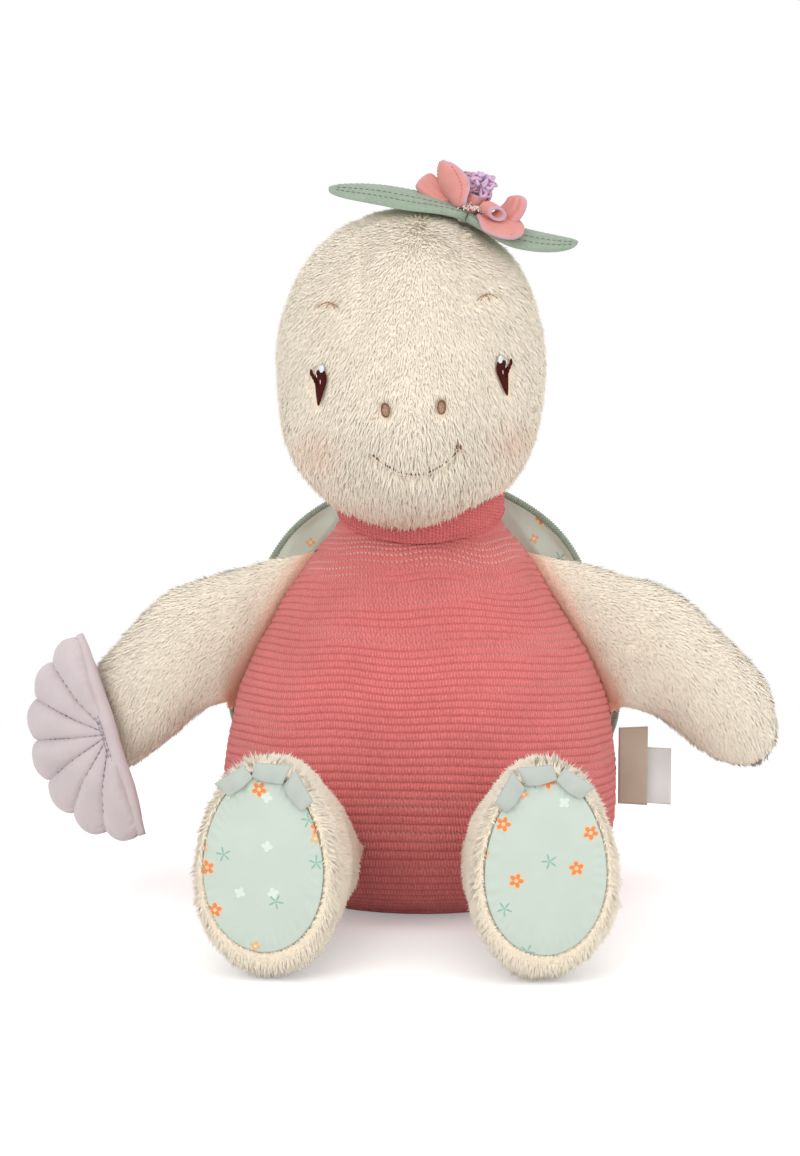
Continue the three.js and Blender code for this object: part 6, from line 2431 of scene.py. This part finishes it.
        bud = plate(rolled(0.65), rolled(-0.5), (60, tall), edge=(v > 0.93) * 1.0)
        add_piece("flower_bud_roll", bud, PETAL_CLOTH, "head", ["flower_bud"])
        count = 170
        angle = rng.uniform(-2.9, 0.4, count)
        t = np.linspace(0, 1, 5)[None, :, None]
        r = width / 2 - 0.2
        high = self.floor + 5.4 + 1.2 * angle + rng.normal(0, 0.25, count)
        root = np.stack([r * np.cos(angle), r * np.sin(angle), high], -1)
        way = np.stack([np.cos(angle), np.sin(angle), 0.5 + 0 * angle], -1)
        way = unit(way + rng.normal(0, 0.35, (count, 3)))
        reach = rng.uniform(1.6, 3.4, (count, 1, 1))
        path = root[:, None] + way[:, None] * t * reach - Z * 0.8 * t ** 2
        add_piece("flower_bud_fringe", tubes(self.placed(path), 0.3, 4), FRINGE, "head")
        x, y, size = self.loop
        v, a = np.meshgrid(full_turn(28), full_turn(60))
        r = size / 2 - 0.85 + 0.85 * squared(np.cos(v), 0.7)
        along = 3.0 * squared(np.sin(v), 0.4)
        ring = np.stack([x + 1.25 * r * np.cos(a) + 0.7 * along,
                         y - 0.75 * along + 0.4 * np.cos(a),
                         self.floor + self.cloth + 0.9 + size / 2 + 0.92 * r * np.sin(a)], -1)
        loop = hoop(self.placed(ring), (18, 20), edge=(np.abs(along) > 2.7) * 1.0)
        add_piece("flower_loop_satin", loop, PETAL_CLOTH, "head", ["flower_loop"])
        count = 46
        wide, tall = self.yarn
        way = unit(rng.normal(size=(count, 3)) + 0.35 * Z)
        reach = 0.5 * np.array([wide, wide, tall]) * rng.uniform(0.7, 1.3, (count, 1))
        side = unit(np.cross(way, rng.normal(size=(count, 3))))
        t = np.linspace(0, 1, 15)[None, :, None]
        middle = np.array([0, 0, self.floor + self.bud[1] + 0.3 + tall / 2])
        path = (middle + (way * reach)[:, None] * np.sin(PI * t) ** 0.8
                + side[:, None] * 1.9 * np.sin(2 * PI * t) * np.sin(PI * t))
        loops = tubes(self.placed(path), 0.7, 6)
        add_piece("flower_yarn_loops", loops, YARN, "head", ["flower_pompom"])

    def build(self) -> None:
        """The whole flower."""
        self.leaves()
        self.petals()
        self.heart()


@dataclass
class Turtle:
    """The whole toy."""

    neck: Neck = field(default_factory=Neck)

    def build(self) -> None:
        """Builds every sub-assembly in order."""
        body = Body(self.neck)
        body.build()
        Carapace(body).build()
        Labels().build()
        head = Head(self.neck)
        head.build()
        Flower(head).build()
        fan = Fan()
        left = Arm(Side.LEFT, body, 75, 60)
        left.build(fan)
        fan.build(left)
        Arm(Side.RIGHT, body, 79, 53).build()
        for side in Side:
            Leg(side, body).build()


# Studio


@dataclass(frozen=True)
class Studio:
    """The floor, the lamps, the white background and the camera at the photograph's angle."""

    target: tuple[float, float, float] = (-9.24, 0.0, 142.0)
    azimuth: float = 2.7
    elevation: float = 7.5
    distance: float = 1450
    lens: float = 102.6
    floor_half: float = 6e3

    def camera(self) -> None:
        """The camera, turned to the target."""
        a, e = np.radians(self.azimuth), np.radians(self.elevation)
        way = np.array([np.sin(a) * np.cos(e), -np.cos(a) * np.cos(e), np.sin(e)])
        data = bpy.data.cameras.new("camera")
        data.sensor_fit, data.sensor_height, data.lens = "VERTICAL", 36.0, self.lens
        data.clip_start, data.clip_end = 0.05, 50.0
        camera = bpy.data.objects.new("camera", data)
        target = Vector(self.target) * MM
        camera.location = target + Vector(way) * self.distance * MM
        camera.rotation_euler = (target - camera.location).to_track_quat("-Z", "Y").to_euler()
        bpy.context.scene.collection.objects.link(camera)
        bpy.context.scene.camera = camera

    def lamp(self, name: str, place: tuple[float, float, float], size: float,
             power: float) -> None:
        """A soft square lamp turned to the toy's middle.

        Args:
            name: its name.
            place: its place in metres.
            size: its side in metres.
            power: its power in watts.
        """
        data = bpy.data.lights.new(name, "AREA")
        data.size, data.energy = size, power
        lamp = bpy.data.objects.new(name, data)
        lamp.location = place
        way = Vector((0, 0, 0.15)) - Vector(place)
        lamp.rotation_euler = way.to_track_quat("-Z", "Y").to_euler()
        bpy.context.scene.collection.objects.link(lamp)

    @staticmethod
    def white(tree: bpy.types.NodeTree, kind: str, strength: Any) -> Any:
        """A white light's socket, of a surface or of the background."""
        return add_node(tree, kind, {"Color": (1, 1, 1, 1), "Strength": strength})

    def floor(self) -> None:
        """A plain white floor that keeps the toy's shadow."""
        square = np.array([[-1, -1, 0], [1, -1, 0], [1, 1, 0], [-1, 1, 0]])
        floor = make_object("floor", Patch(self.floor_half * square, [np.array([[0, 1, 2, 3]])]))
        made = bpy.data.materials.new("white_floor")
        tree = empty_tree(made)
        seen = add_node(tree, "LightPath", (), "Is Camera Ray")
        place = add_node(tree, "TexCoord", (), "Object")
        away = add_node(tree, "VectorMath", (place,), "Value", operation="LENGTH")
        far = add_node(tree, "MapRange", {"Value": away, "From Min": 0.16, "From Max": 0.5},
                       interpolation_type="SMOOTHSTEP")
        glow, share = (add_node(tree, "Math", (seen, part), operation="MULTIPLY")
                       for part in (0.3, far))
        cloth = add_node(tree, "BsdfPrincipled", {
            "Base Color": (0.9, 0.9, 0.9, 1), "Roughness": 0.9, "Specular IOR Level": 0.1,
            "Emission Color": (1, 1, 1, 1), "Emission Strength": glow})
        shader = add_node(tree, "MixShader", (share, cloth, self.white(tree, "Emission", 1.0)))
        add_node(tree, "OutputMaterial", {"Surface": shader}, None)
        floor.data.materials.append(made)

    def world(self) -> None:
        """White to the eye and in reflections, and a soft fill light for the rest."""
        world = bpy.data.worlds.new("world")
        tree = empty_tree(world)
        path = add_node(tree, "LightPath", (), None)
        shown = path.outputs["Is Camera Ray"]
        for ray in ("Is Transmission Ray", "Is Glossy Ray"):
            shown = add_node(tree, "Math", (shown, path.outputs[ray]), operation="MAXIMUM")
        strength = add_node(tree, "Math", (shown, 0.12, 0.88), operation="MULTIPLY_ADD")
        back = self.white(tree, "Background", strength)
        add_node(tree, "OutputWorld", {"Surface": back}, None)
        bpy.context.scene.world = world

    def build(self) -> None:
        """The whole studio."""
        self.camera()
        self.floor()
        self.world()
        self.lamp("key", (-0.7, -1.5, 1.0), 1.0, 8.0)
        self.lamp("fill", (1.2, -1.3, 0.5), 1.2, 6.0)
        self.lamp("top", (0.1, -0.5, 1.9), 1.2, 5.0)
        bpy.context.scene.view_settings.view_transform = "Standard"


def main() -> None:
    """Builds the toy and the studio."""
    logging.basicConfig(level=logging.INFO, format="%(message)s")
    Studio().build()
    Turtle().build()


if __name__ == "__main__":
    main()
